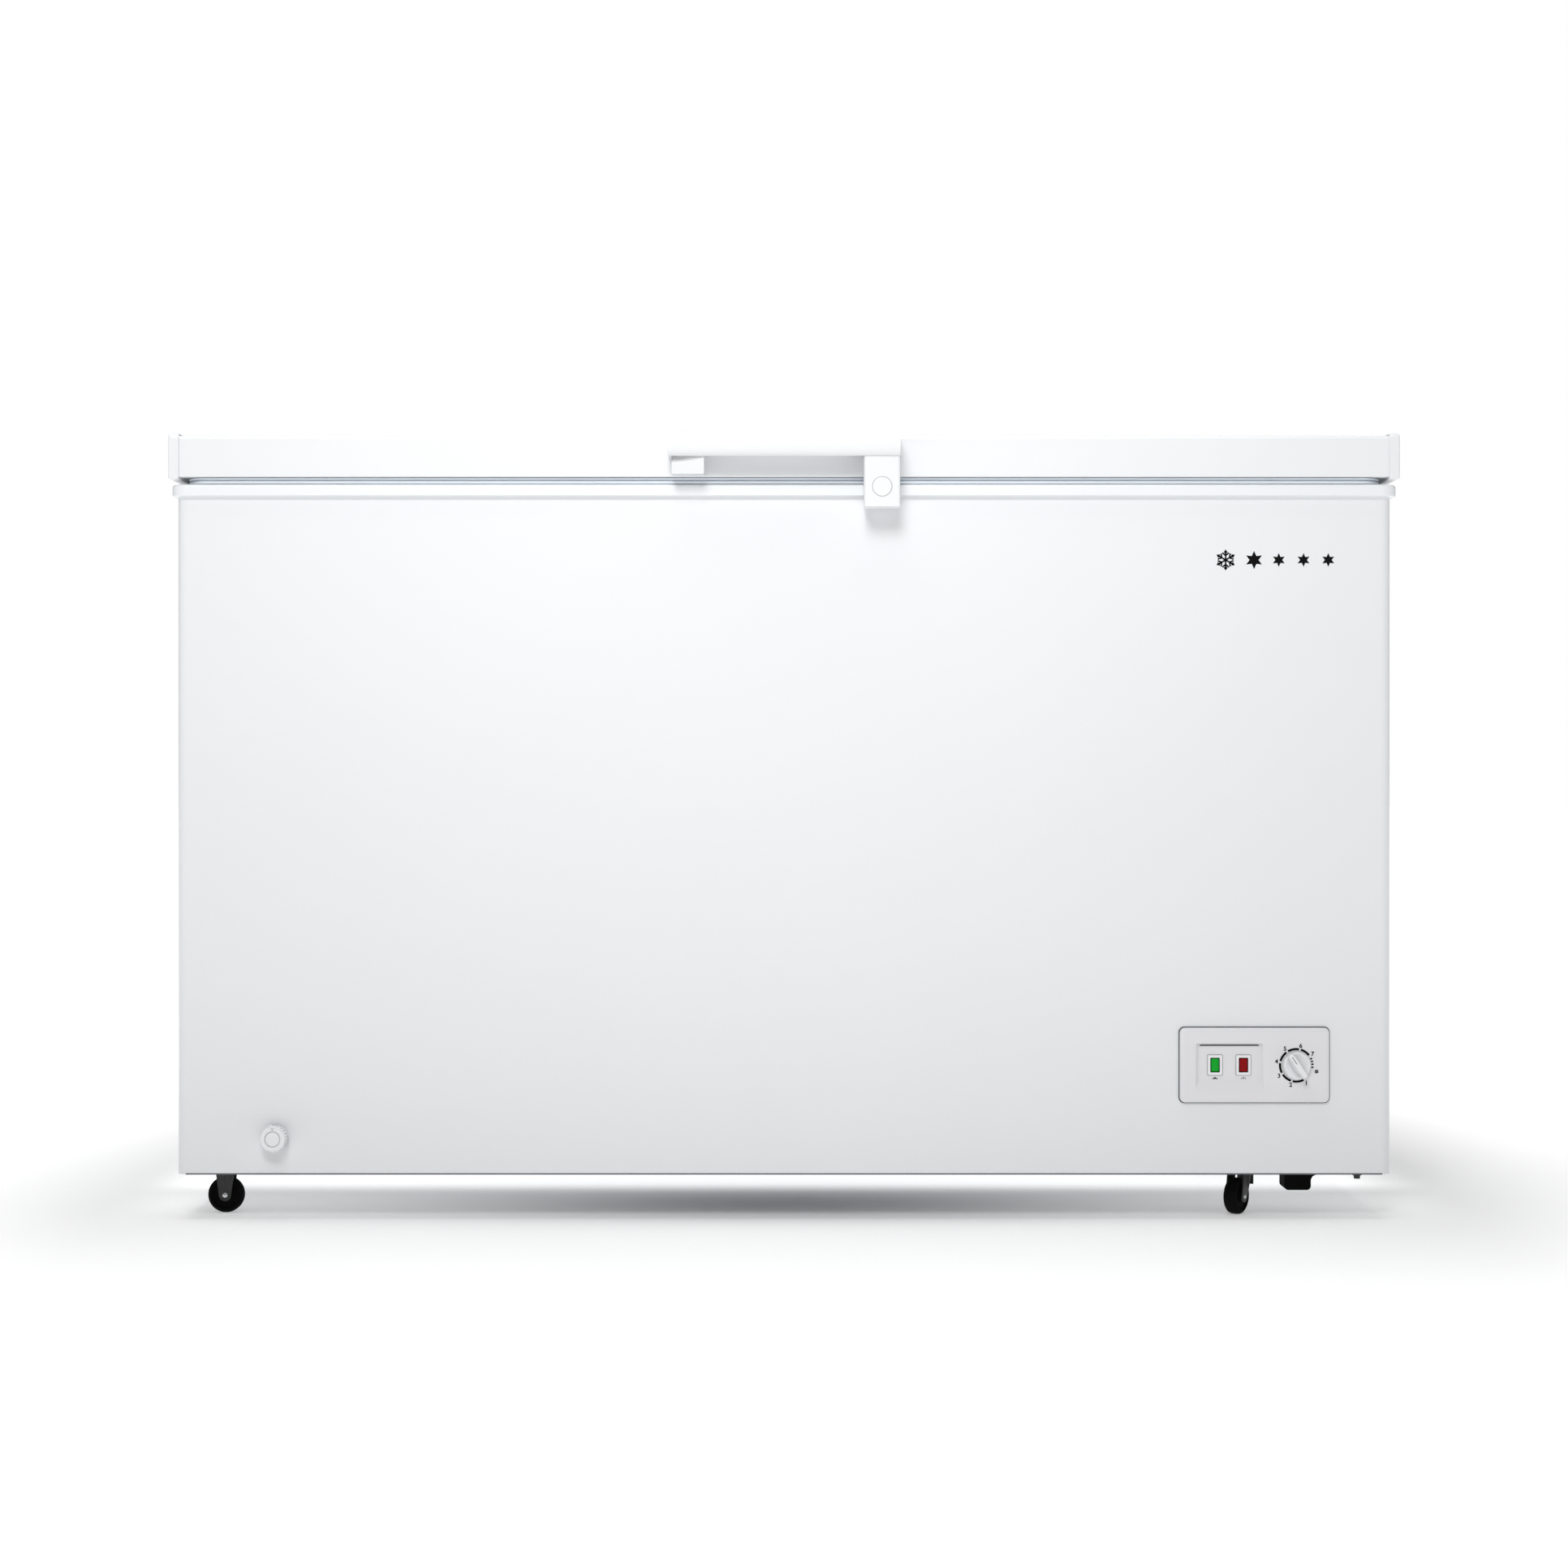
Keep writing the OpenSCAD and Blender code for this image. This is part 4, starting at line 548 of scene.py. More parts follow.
class Shape:
    """A mesh in the making, in the frame's own metres."""

    def __init__(self) -> None:
        """Starts empty."""
        self.bm = bmesh.new()

    def skin(self, rings: Sequence[Sequence[Vector]], wrap: bool = False, caps: bool = True,
             closed: bool = True) -> "Shape":
        """Skins a row of rings that have the same number of points.

        Args:
            rings: the rings, in order.
            wrap: whether the last ring joins the first.
            caps: whether the two end rings are filled.
            closed: whether each ring is closed.

        Returns:
            This shape.
        """
        verts = [[self.bm.verts.new(p) for p in ring] for ring in rings]
        rows = list(zip(verts, verts[1:])) + ([(verts[-1], verts[0])] if wrap else [])
        count = len(verts[0])
        for low, high in rows:
            for i in range(count if closed else count - 1):
                j = (i + 1) % count
                self.bm.faces.new((low[i], low[j], high[j], high[i]))
        if caps and not wrap:
            self.bm.faces.new(verts[0][::-1])
            self.bm.faces.new(verts[-1])
        return self

    def plate(self, outline: Sequence[Flat], axis: Axis, low: float, high: float) -> "Shape":
        """Draws a flat outline out along an axis, from low to high."""
        return self.skin([[axis.point(u, v, at) for u, v in outline] for at in (low, high)])

    def block(self, low: Sequence[float], high: Sequence[float]) -> "Shape":
        """A box between two corners, to be softened or carved."""
        (x0, y0, z0), (x1, y1, z1) = low, high
        return self.plate([(x0, y0), (x1, y0), (x1, y1), (x0, y1)], Axis.Z, z0, z1)

    def loft(self, sections: Sequence[tuple[Flat, Flat, float, float]], axis: Axis = Axis.Z,
             steps: int = 8) -> "Shape":
        """A solid through round-cornered rectangles.

        Args:
            sections: each section's low corner, high corner, corner radius and place along the axis.
            axis: the axis that the sections are square to.
            steps: chords in each corner.

        Returns:
            This shape.
        """
        return self.skin([[axis.point(u, v, at) for u, v in round_rect(low, high, r, steps)]
            for low, high, r, at in sections])

    def turned(self, profile: Sequence[Flat], centre: Sequence[float], axis: Axis, steps: int = 48,
               wave: tuple[int, float] = (0, 0.0)) -> "Shape":
        """A turned solid.

        Args:
            profile: radius and distance along the axis, point by point.
            centre: the axis's point at distance 0.
            axis: the axis.
            steps: chords round it.
            wave: how many ribs it has, and how deep they are.

        Returns:
            This shape.
        """
        u, v, along = {Axis.X: (1, 2, 0), Axis.Y: (0, 2, 1), Axis.Z: (0, 1, 2)}[axis]
        rings = []
        for radius, at in profile:
            ring = []
            for i in range(steps):
                a = math.tau * i / steps
                r = max(radius - wave[1] * (0.5 - 0.5 * math.cos(wave[0] * a)), 1e-5)
                ring.append(axis.point(centre[u] + r * math.cos(a), centre[v] + r * math.sin(a),
                    centre[along] + at))
            rings.append(ring)
        return self.skin(rings)

    def wire(self, path: Sequence[Vector], radius: float, steps: int = 8, wrap: bool = False) -> "Shape":
        """A round wire along a path.

        Args:
            path: its centre line.
            radius: the wire's radius.
            steps: its sides.
            wrap: whether its ends meet.

        Returns:
            This shape.
        """
        path = [Vector(p) for p in path]
        count = len(path)
        runs = [(path[min(i + 1, count - 1)] - path[max(i - 1, 0)]).normalized() for i in range(count)]
        if wrap:
            runs = [(path[(i + 1) % count] - path[i - 1]).normalized() for i in range(count)]
        side = runs[0].orthogonal().normalized()
        rings = []
        for at, run in zip(path, runs):
            side = (side - run * side.dot(run)).normalized()
            other = run.cross(side)
            rings.append([at + (side * math.cos(a) + other * math.sin(a)) * radius
                for a in (math.tau * i / steps for i in range(steps))])
        return self.skin(rings, wrap=wrap)

    def soften(self, width: float, steps: int = 3, angle: float = 35.0) -> "Shape":
        """Rounds every edge that is sharper than an angle.

        Args:
            width: the rounding's width.
            steps: chords across it.
            angle: least angle between the faces, in degrees.

        Returns:
            This shape.
        """
        bmesh.ops.recalc_face_normals(self.bm, faces=self.bm.faces)
        sharp = [e for e in self.bm.edges if len(e.link_faces) == 2
            and e.calc_face_angle(0.0) > math.radians(angle)]
        bmesh.ops.bevel(self.bm, geom=sharp, offset=width, segments=steps, profile=0.5, affect="EDGES",
            clamp_overlap=True)
        return self

    def move(self, matrix: Matrix) -> "Shape":
        """Moves the shape."""
        self.bm.transform(matrix)
        return self

    def add(self, other: "Shape") -> "Shape":
        """Takes in another shape's faces as they are."""
        mesh = bpy.data.meshes.new("loose")
        other.bm.to_mesh(mesh)
        self.bm.from_mesh(mesh)
        bpy.data.meshes.remove(mesh)
        return self

    def loose(self) -> bpy.types.Object:
        """A working object with this mesh."""
        bmesh.ops.recalc_face_normals(self.bm, faces=self.bm.faces)
        mesh = bpy.data.meshes.new("loose")
        self.bm.to_mesh(mesh)
        made = bpy.data.objects.new("loose", mesh)
        bpy.context.scene.collection.objects.link(made)
        return made

    def carve(self, *others: "Shape", how: Carve = Carve.TAKE_AWAY) -> "Shape":
        """Takes other shapes away from this one, or joins them to it.

        Args:
            others: the other shapes.
            how: which of the two.

        Returns:
            This shape.
        """
        work = self.loose()
        tools = [other.loose() for other in others]
        for tool in tools:
            step = work.modifiers.new("carve", "BOOLEAN")
            step.operation = how.value
            step.solver = "EXACT"
            step.object = tool
        mesh = settled(work)
        self.bm.clear()
        self.bm.from_mesh(mesh)
        bmesh.ops.remove_doubles(self.bm, verts=self.bm.verts, dist=1e-6)
        for made in (work, *tools):
            bpy.data.objects.remove(made)
        return self

    def piece(self, name: str, finish: Finish, body: str | None, replaces: Iterable[str] = (),
              crease: float = 38.0) -> bpy.types.Object:
        """Turns the shape into a piece of the freezer.

        Args:
            name: the piece's name.
            finish: its finish.
            body: the body it rides on, or None for a piece that is attached to no body.
            replaces: the CAD nodes it stands for.
            crease: angle above which an edge stays sharp, in degrees.

        Returns:
            The piece.
        """
        made = self.loose()
        made.name = name
        made.data.name = name
        made.data.shade_smooth()
        made.data.set_sharp_from_angle(angle=math.radians(crease))
        even = made.modifiers.new("even", "WEIGHTED_NORMAL")
        even.keep_sharp = True
        mesh = settled(made)
        made.modifiers.clear()
        made.data = mesh
        mesh.name = name
        mesh.materials.clear()
        mesh.materials.append(finish.material())
        if body:
            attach(made, body)
        nodes = tuple(replaces)
        if nodes:
            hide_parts(*nodes)
        log.info("%s rides %s, %d faces", name, body, len(mesh.polygons))
        return made


def settled(made: bpy.types.Object) -> bpy.types.Mesh:
    """The object's mesh with its modifiers applied."""
    bpy.context.view_layer.update()
    graph = bpy.context.evaluated_depsgraph_get()
    return bpy.data.meshes.new_from_object(made.evaluated_get(graph), preserve_all_data_layers=True,
        depsgraph=graph)


def dress(finish: Finish, *nodes: str) -> None:
    """Gives CAD nodes a finish.

    Args:
        finish: the finish.
        nodes: the nodes' names.
    """
    for node in nodes:
        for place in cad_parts[node].material_slots:
            place.material = finish.material()
        log.info("%s dressed in %s", node, finish.name)


# ---- cabinet -------------------------------------------------------------------------------------


@dataclass
class Badge:
    """The printed mark on the front's upper right: a snowflake and four stars."""

    from_right: float = 0.181
    from_top: float = 0.0695
    height: float = 0.022
    pitch: float = 0.027
    lift: float = 0.00012

    def snowflake(self, centre: Flat, radius: float, width: float, y: float) -> Shape:
        """A six-armed snowflake of thin bars.

        Args:
            centre: its middle, in X and Z.
            radius: its reach.
            width: the bars' width.
            y: the surface it is printed on.

        Returns:
            The printed shape.
        """
        made = Shape()
        for arm in range(6):
            angle = math.tau * arm / 6 + math.pi / 6
            spoke = Vector((math.cos(angle), math.sin(angle)))
            bars = [((0.0, 0.0), radius, angle)]
            for share in (0.45, 0.72):
                root = spoke * radius * share
                bars += [(tuple(root), radius * (0.95 - share) * 0.85, angle + turn) for turn in (-0.9, 0.9)]
            for (x, z), length, lean in bars:
                run = Vector((math.cos(lean), math.sin(lean)))
                across = Vector((-run.y, run.x)) * width / 2
                start = Vector((centre[0] + x, centre[1] + z))
                outline = [start - across, start + run * length - across, start + run * length + across,
                    start + across]
                made.plate([tuple(p) for p in outline], Axis.Y, y - self.lift, y)
        return made

    def star(self, centre: Flat, radius: float, y: float) -> Shape:
        """A six-pointed star, printed on the surface at y."""
        outline = []
        for i in range(12):
            reach = radius if i % 2 == 0 else radius * 0.5
            angle = math.tau * i / 12 + math.pi / 2
            outline.append((centre[0] + reach * math.cos(angle), centre[1] + reach * math.sin(angle)))
        return Shape().plate(outline, Axis.Y, y - self.lift, y)

    def build(self, shell: Box) -> None:
        """Prints the mark on the cabinet's front."""
        x = shell.high.x - self.from_right
        z = shell.high.z - self.from_top
        y = shell.low.y
        made = self.snowflake((x, z), self.height / 2, 0.0017, y)
        for i in range(4):
            radius = self.height * (0.34 if i else 0.45)
            made.add(self.star((x + 0.004 + (i + 1) * self.pitch, z), radius, y))
        made.piece("front_badge", INK, "cabinet")


@dataclass
class Cabinet:
    """The outer case and what is fixed to it all round."""

    hem_inset: float = 0.010
    shell: Box = box_of("cabinet_shell")

    def build(self) -> None:
        """Dresses the case and prints its badge."""
        dress(WHITE_ENAMEL, "cabinet_shell")
        dress(ZINC, "rear_panel", "base_panel", "compressor_deck")
        dress(FOAM, "insulation_foam")
        dress(ALLOY, "evaporator_tube", "condenser_tube")
        dress(STEEL, "cabinet_screws")
        dress(WHITE_PLASTIC, "vent_grille")
        dress(BLACK_PLASTIC, "cord_gland")
        Badge().build(self.shell)
        self.build_hem_shade()

    def build_hem_shade(self) -> None:
        """Makes a dark strip along the front's lower hem: a painted shadow line where shade falls under the
        hem.
        """
        low, high = self.shell.low, self.shell.high
        strip = Shape().block((low.x + self.hem_inset, low.y - 0.0003, low.z - 0.0004),
            (high.x - self.hem_inset, low.y + 0.004, low.z + 0.0012))
        strip.soften(0.0002, 1, 50).piece("hem_shade_line", GREY_PRINT_AND_SHADE, "cabinet")


@dataclass
class TopFrame:
    """The moulded frame on the rim, with the ledge that carries the basket."""

    wall: float = 0.070
    lip_gap: float = 0.001
    lip: float = 0.003
    ledge: float = 0.010
    drop: float = 0.006
    corner: float = 0.012
    tub_corner: float = 0.030
    top_round: float = 0.003
    shell: Box = box_of("cabinet_shell")
    box: Box = box_of("top_frame")

    def build(self) -> None:
        """Skins the frame's cross-section round the rim."""
        over = self.box.high.x - self.shell.high.x
        top, rim, low = self.box.high.z, self.shell.high.z, self.box.low.z
        inner = self.wall + self.lip_gap
        bore = inner + self.lip
        shelf = bore - self.ledge
        r = self.top_round
        outer = [(over, rim + 0.0008), (over, top - r)]
        outer += [(over - r + r * math.sin(a), top - r + r * math.cos(a))
            for a in (math.radians(90 - 15 * i) for i in range(1, 7))]
        profile = [(over - 0.0008, rim), *outer]
        tub = [(-shelf + 0.0012, top), (-shelf, top - 0.0012), (-shelf, top - self.drop + 0.0015),
            (-shelf - 0.0015, top - self.drop), (-bore + 0.002, top - self.drop),
            (-bore, top - self.drop - 0.002),
            (-bore, low + 0.0008), (-bore + 0.0008, low), (-inner - 0.0005, low), (-inner, low + 0.0005),
            (-inner, rim)]
        rings = []
        for out, z in profile + tub:
            radius = self.corner + out if out > -0.03 else self.tub_corner + (self.wall + out)
            outline = round_rect((self.shell.low.x - out, self.shell.low.y - out),
                (self.shell.high.x + out, self.shell.high.y + out), radius, 10)
            rings.append([Vector((x, y, z)) for x, y in outline])
        Shape().skin(rings, wrap=True).piece("rim_frame", FRAME_PLASTIC, "cabinet", ["top_frame"])


@dataclass
class Tub:
    """The embossed tub, with round floor edges and the step over the machine compartment."""

    wall: float = 0.070
    corner: float = 0.030
    cove: float = 0.014
    sheet: float = 0.001
    step_left: float = 0.3522
    step_rise: float = 0.2
    sump: float = 0.012
    shell: Box = box_of("cabinet_shell")
    liner: Box = box_of("inner_liner")
    plug: Box = box_of("drain_plug")

    def hollow(self, low: Flat, high: Flat, floor: float, top: float, grow: float) -> Shape:
        """A basin with round corners and a coved floor, grown all round.

        Args:
            low: the basin's low corner, in X and Y.
            high: its high corner.
            floor: its floor's height.
            top: its mouth's height.
            grow: how far it grows outwards.

        Returns:
            The solid that fills the basin.
        """
        sections = []
        for i in range(7):
            a = math.radians(90 * i / 6)
            pull = self.cove * (1 - math.sin(a)) - grow
            r = max(self.corner + grow - self.cove * (1 - math.sin(a)), 0.004)
            sections.append(((low[0] + pull, low[1] + pull), (high[0] - pull, high[1] - pull), r,
                floor - grow + self.cove * (1 - math.cos(a))))
        sections.append(((low[0] - grow, low[1] - grow), (high[0] + grow, high[1] + grow),
            self.corner + grow, top))
        return Shape().loft(sections, steps=10)

    def space(self, grow: float, top: float) -> Shape:
        """The tub's whole space: the deep basin and the shallow one over the step."""
        x0, x1 = self.shell.low.x + self.wall, self.shell.high.x - self.wall
        y0, y1 = self.shell.low.y + self.wall, self.shell.high.y - self.wall
        floor = self.liner.low.z + self.sheet
        deep = self.hollow((x0, y0), (self.step_left, y1), floor, top, grow)
        return deep.carve(self.hollow((x0, y0), (x1, y1), floor + self.step_rise, top, grow), how=Carve.JOIN)

    def build(self) -> None:
        """Makes the tub's sheet with its flange, and the drain's hole."""
        rim = self.liner.high.z
        flange = Shape().loft([((self.liner.low.x, self.liner.low.y), (self.liner.high.x, self.liner.high.y),
            0.011, z) for z in (rim - self.sheet, rim)])
        made = self.space(self.sheet, rim - self.sheet / 2).carve(flange, how=Carve.JOIN)
        made.carve(self.space(0.0, rim + self.sheet))
        hole = Shape().turned([(self.sump, -0.02), (self.sump, 0.02)],
            (self.plug.middle.x, self.plug.middle.y, self.liner.low.z), Axis.Z, 40)
        made.carve(hole).piece("tub_liner", STUCCO, "cabinet", ["inner_liner"])


# ---- lid -----------------------------------------------------------------------------------------


@dataclass
class Lid:
    """The foamed lid: folded skin, end caps, inner panel and seal."""

    sheet: float = 0.0008
    hem: float = 0.011
    edge: float = 0.004
    foot: float = 0.0012
    proud: float = 0.0025
    cap_round: float = 0.002
    cap_width: float = 0.0115
    plug_half: Flat = (0.559, 0.221)
    plug_corner: float = 0.026
    plug_bend: float = 0.004
    plug_cove: float = 0.008
    field_inset: float = 0.045
    seal_width: float = 0.020
    seal_front: float = 0.0125
    skin: Box = box_of("lid_skin")
    caps: Box = box_of("lid_end_caps")
    panel: Box = box_of("lid_inner_panel")
    seal: Box = box_of("lid_gasket")

    def outline(self, grow: float, inside: float = 0.0) -> list[Flat]:
        """The lid's side outline in (Y, Z), with round edges.

        Args:
            grow: how far it grows all round.
            inside: how much tighter its edges are, about the same centres.

        Returns:
            The outline.
        """
        y0, y1 = self.skin.low.y - grow, self.skin.high.y + grow
        z0, z1 = self.skin.low.z - grow, self.skin.high.z + grow
        r = max(self.edge + grow, 0.0005)
        foot = self.foot
        return (arc((y1 - foot, z0 + foot), foot - inside, -90, 0, 4)
            + arc((y1 - r, z1 - r), r - inside, 0, 90, 8) + arc((y0 + r, z1 - r), r - inside, 90, 180, 8)
            + arc((y0 + foot, z0 + foot), foot - inside, 180, 270, 4))

    def build_skin(self) -> None:
        """Folds the lid's sheet round its front, top and back."""
        y0, y1, z0 = self.skin.low.y, self.skin.high.y, self.skin.low.z
        outer, inner = [[(y1 - self.hem, z0 + t), *self.outline(0.0, t), (y0 + self.hem, z0 + t)]
            for t in (0.0, self.sheet)]
        rings = [[Axis.X.point(u, v, x) for u, v in line] for x, line in
            ((self.skin.low.x, outer), (self.skin.high.x, outer), (self.skin.high.x, inner),
            (self.skin.low.x, inner))]
        made = Shape().skin(rings, wrap=True, closed=False)
        bmesh.ops.holes_fill(made.bm, edges=made.bm.edges, sides=4)
        made.piece("lid_wrap", WHITE_ENAMEL, "lid", ["lid_skin"])

    def build_caps(self) -> None:
        """Makes the moulded cap on each end."""
        outer = self.caps.high.x
        inner = outer - self.cap_width
        r = self.cap_round
        for side, name in ((-1, "left"), (1, "right")):
            stations = [(inner - 0.0004, -0.0004), (inner, -0.0002), (inner, self.proud - 0.0005),
                (inner + 0.0005, self.proud), (outer - r, self.proud)]
            stations += [(outer - r + r * math.sin(a), self.proud - r + r * math.cos(a))
                for a in (math.radians(18 * i) for i in range(1, 6))]
            rings = [[Axis.X.point(u, v, side * x) for u, v in self.outline(grow)] for x, grow in stations]
            Shape().skin(rings).piece(f"lid_cap_{name}", WHITE_PLASTIC, "lid",
                ["lid_end_caps"] if side > 0 else [])

    def build_panel(self) -> None:
        """Makes the inner panel: a flange and a shallow tray that drops into the tub's mouth."""
        flange_top, low = self.panel.high.z, self.panel.low.z
        flange = flange_top - 0.002
        mid_y = self.panel.middle.y
        half_w, half_d = self.plug_half

        def section(w: float, d: float, r: float, z: float) -> tuple[Flat, Flat, float, float]:
            """A section of half width w and half depth d."""
            return ((-w, mid_y - d), (w, mid_y + d), r, z)

        flange_w, flange_d = self.panel.high.x, self.panel.size.y / 2
        sections = [section(flange_w, flange_d, 0.001, z) for z in (flange_top, flange)]
        for i in range(4):
            swell = self.plug_bend * math.sin(math.radians(90 - 30 * i))
            sections.append(section(half_w + swell, half_d + swell, self.plug_corner,
                flange - (self.plug_bend - swell)))
        for i in range(6):
            a = math.radians(18 * i)
            pull = self.plug_cove * (1 - math.cos(a))
            sections.append(section(half_w - pull, half_d - pull, self.plug_corner - 0.002 - pull / 2,
                low + self.plug_cove * (1 - math.sin(a))))
        for step, rise in ((0.0, 0.0), (0.001, 0.0002), (0.003, 0.0012), (0.0045, 0.0015)):
            inset = self.field_inset + step
            sections.append(section(half_w - inset, half_d - inset, 0.02, low + rise))
        Shape().loft(sections, steps=8).piece("lid_tray", INNER_PLASTIC, "lid", ["lid_inner_panel"])

    def build_seal(self) -> None:
        """Makes the hollow seal: a flat root, a bellows and a magnet bead."""
        low, high = self.seal.low.z, self.seal.high.z
        rise = high - low
        front = [(-0.003, 1.0), (-0.003, 0.9), (-0.0006, 0.84), (0.0, 0.74), (-0.0006, 0.6), (-0.0035, 0.56),
            (-0.0035, 0.49), (-0.0006, 0.43), (0.0003, 0.3), (0.0, 0.12), (-0.0014, 0.0)]
        back = [(0.002, 0.0), (0.0008, 0.1), (0.0, 0.14), (0.0, 0.42), (0.003, 0.55), (0.004, 0.7),
            (0.001, 0.84), (0.0, 1.0)]
        rings = []
        for out, share in front + [(out - self.seal_width, share) for out, share in back]:
            outline = round_rect((self.seal.low.x - out, self.seal.low.y - out - self.seal_front),
                (self.seal.high.x + out, self.seal.high.y + out), 0.024 + out, 8)
            rings.append([Vector((x, y, low + share * rise)) for x, y in outline])
        Shape().skin(rings, wrap=True).piece("lid_seal", SEAL, "lid", ["lid_gasket"])

    def build(self) -> None:
        """Makes every piece of the lid."""
        self.build_skin()
        self.build_caps()
        self.build_panel()
        self.build_seal()
        dress(FOAM, "lid_foam")
        dress(STEEL, "lid_screws")


@dataclass
class Handle:
    """The pull along the lid's front edge, with its plain post and the lock housing."""

    top: float = 0.0035
    grip: float = 0.012
    end: float = 0.0035
    post_in: float = 0.004
    post: float = 0.035
    post_reach: float = 0.031
    scoop_r: float = 0.02
    lid: Box = box_of("lid_skin")
    box: Box = box_of("handle_grip")
    housing: Box = box_of("lock_housing")
    disc: Box = box_of("lock_cap")

    def visor(self) -> list[Flat]:
        """The visor's outer edge in (Y, Z), from its underside round the front to the lid's top."""
        y0, z1, z0 = self.box.low.y, self.box.high.z, self.housing.high.z
        curl = [(y0 + 0.0085 * (1 - math.cos(a)), z0 + 0.0135 * (1 - math.sin(a)))
            for a in (math.radians(90 - 10 * i) for i in range(10))]
        edge = [(y0 + 0.003 * (1 - math.sin(a)), z1 - 0.003 * (1 - math.cos(a)))
            for a in (math.radians(90 - 15 * i) for i in range(7))]
        return curl + edge

    def build_grip(self) -> None:
        """Makes the visor with its ends and its hollow post."""
        y0, y1 = self.box.low.y, self.lid.low.y
        z1, z0 = self.box.high.z, self.housing.high.z
        x0, x1 = self.box.low.x, self.box.high.x
        front = self.visor()
        shell = front + [(y1, z1), (y1, z1 - self.top), (y0 + self.grip, z1 - self.top),
            (y0 + self.grip - 0.001, z0 + 0.004), (y0 + self.grip - 0.0025, z0 + 0.0008)]
        side = front + [(y1, z1), (y1, z0 + 0.001), (y0 + self.grip, z0)]
        made = Shape().plate(shell, Axis.X, x0 + 0.001, x1 - 0.001)
        made.carve(Shape().plate(side, Axis.X, x0, x0 + self.end),
            Shape().plate(side, Axis.X, x1 - self.end, x1), how=Carve.JOIN)
        made.soften(0.0005, 2, 50)
        made.piece("grip_visor", WHITE_PLASTIC, "lid", ["handle_grip"])
        self.build_post(x0 + self.post_in, y1, z0, z1)

    def build_post(self, x: float, y: float, grip_z: float, top: float) -> None:
        """Makes the post under the visor, its face scooped deeper towards the right.

        Args:
            x: the post's left side.
            y: the lid's face.
            grip_z: height of the visor's lower edge.
            top: height of the lid's top.
        """
        foot = self.lid.low.z + 0.001
        face = y - self.post_reach
        outline = [(y, foot), (face + 0.007, foot), (face + 0.001, grip_z - 0.002), (face, grip_z + 0.004),
            (face, top - self.top), (y, top - self.top)]
        made = Shape().plate(outline, Axis.X, x, x + self.post)
        scoop = Shape().turned([(self.scoop_r, -0.018), (self.scoop_r, 0.0185)], (0, 0, 0), Axis.X, 64)
        lean = Matrix.Translation((x + 0.0155, face - 0.0135, grip_z + 0.0062)) @ Matrix.Rotation(
            math.radians(-13), 4, "Z") @ Matrix.Rotation(math.radians(7), 4, "Y")
        made.carve(scoop.move(lean))
        made.soften(0.0004, 2, 50)
        made.piece("grip_post", WHITE_PLASTIC, "lid")

    def build_lock(self) -> None:
        """Makes the lock housing and the round cap that fills its lock hole."""
        low, high = self.housing.low, self.housing.high
        back = self.lid.low.y - 0.001
        made = Shape().loft([((low.x, low.y), (high.x, back), 0.0028, z) for z in (low.z, high.z)], Axis.Z, 6)
        neck = Shape().block((low.x + 0.0002, back - 0.004, self.lid.low.z + 0.001),
            (high.x - 0.0002, self.lid.low.y, high.z))
        made.carve(neck, how=Carve.JOIN)
        made.soften(0.0009, 3, 50)
        centre = self.disc.middle
        r = self.disc.size.x / 2
        spot = (centre.x, low.y, centre.z)
        made.carve(Shape().turned([(r + 0.0003, -0.02), (r + 0.0003, 0.007)], spot, Axis.Y, 64))
        made.piece("lock_case", WHITE_PLASTIC, "lid", ["lock_housing"])
        front = self.disc.low.y - low.y
        profile = [(r - back, front + depth) for back, depth in ((0.0045, 0.0003), (0.0022, 0.0001),
            (0.001, 0.0), (0.0004, 0.0002), (0.0, 0.0008), (0.0, self.disc.size.y))]
        Shape().turned(profile, spot, Axis.Y, 64).piece("lock_disc", WHITE_PLASTIC, "lid", ["lock_cap"])

    def build(self) -> None:
        """Makes the handle and the lock."""
        self.build_grip()
        self.build_lock()


# ---- front controls ------------------------------------------------------------------------------


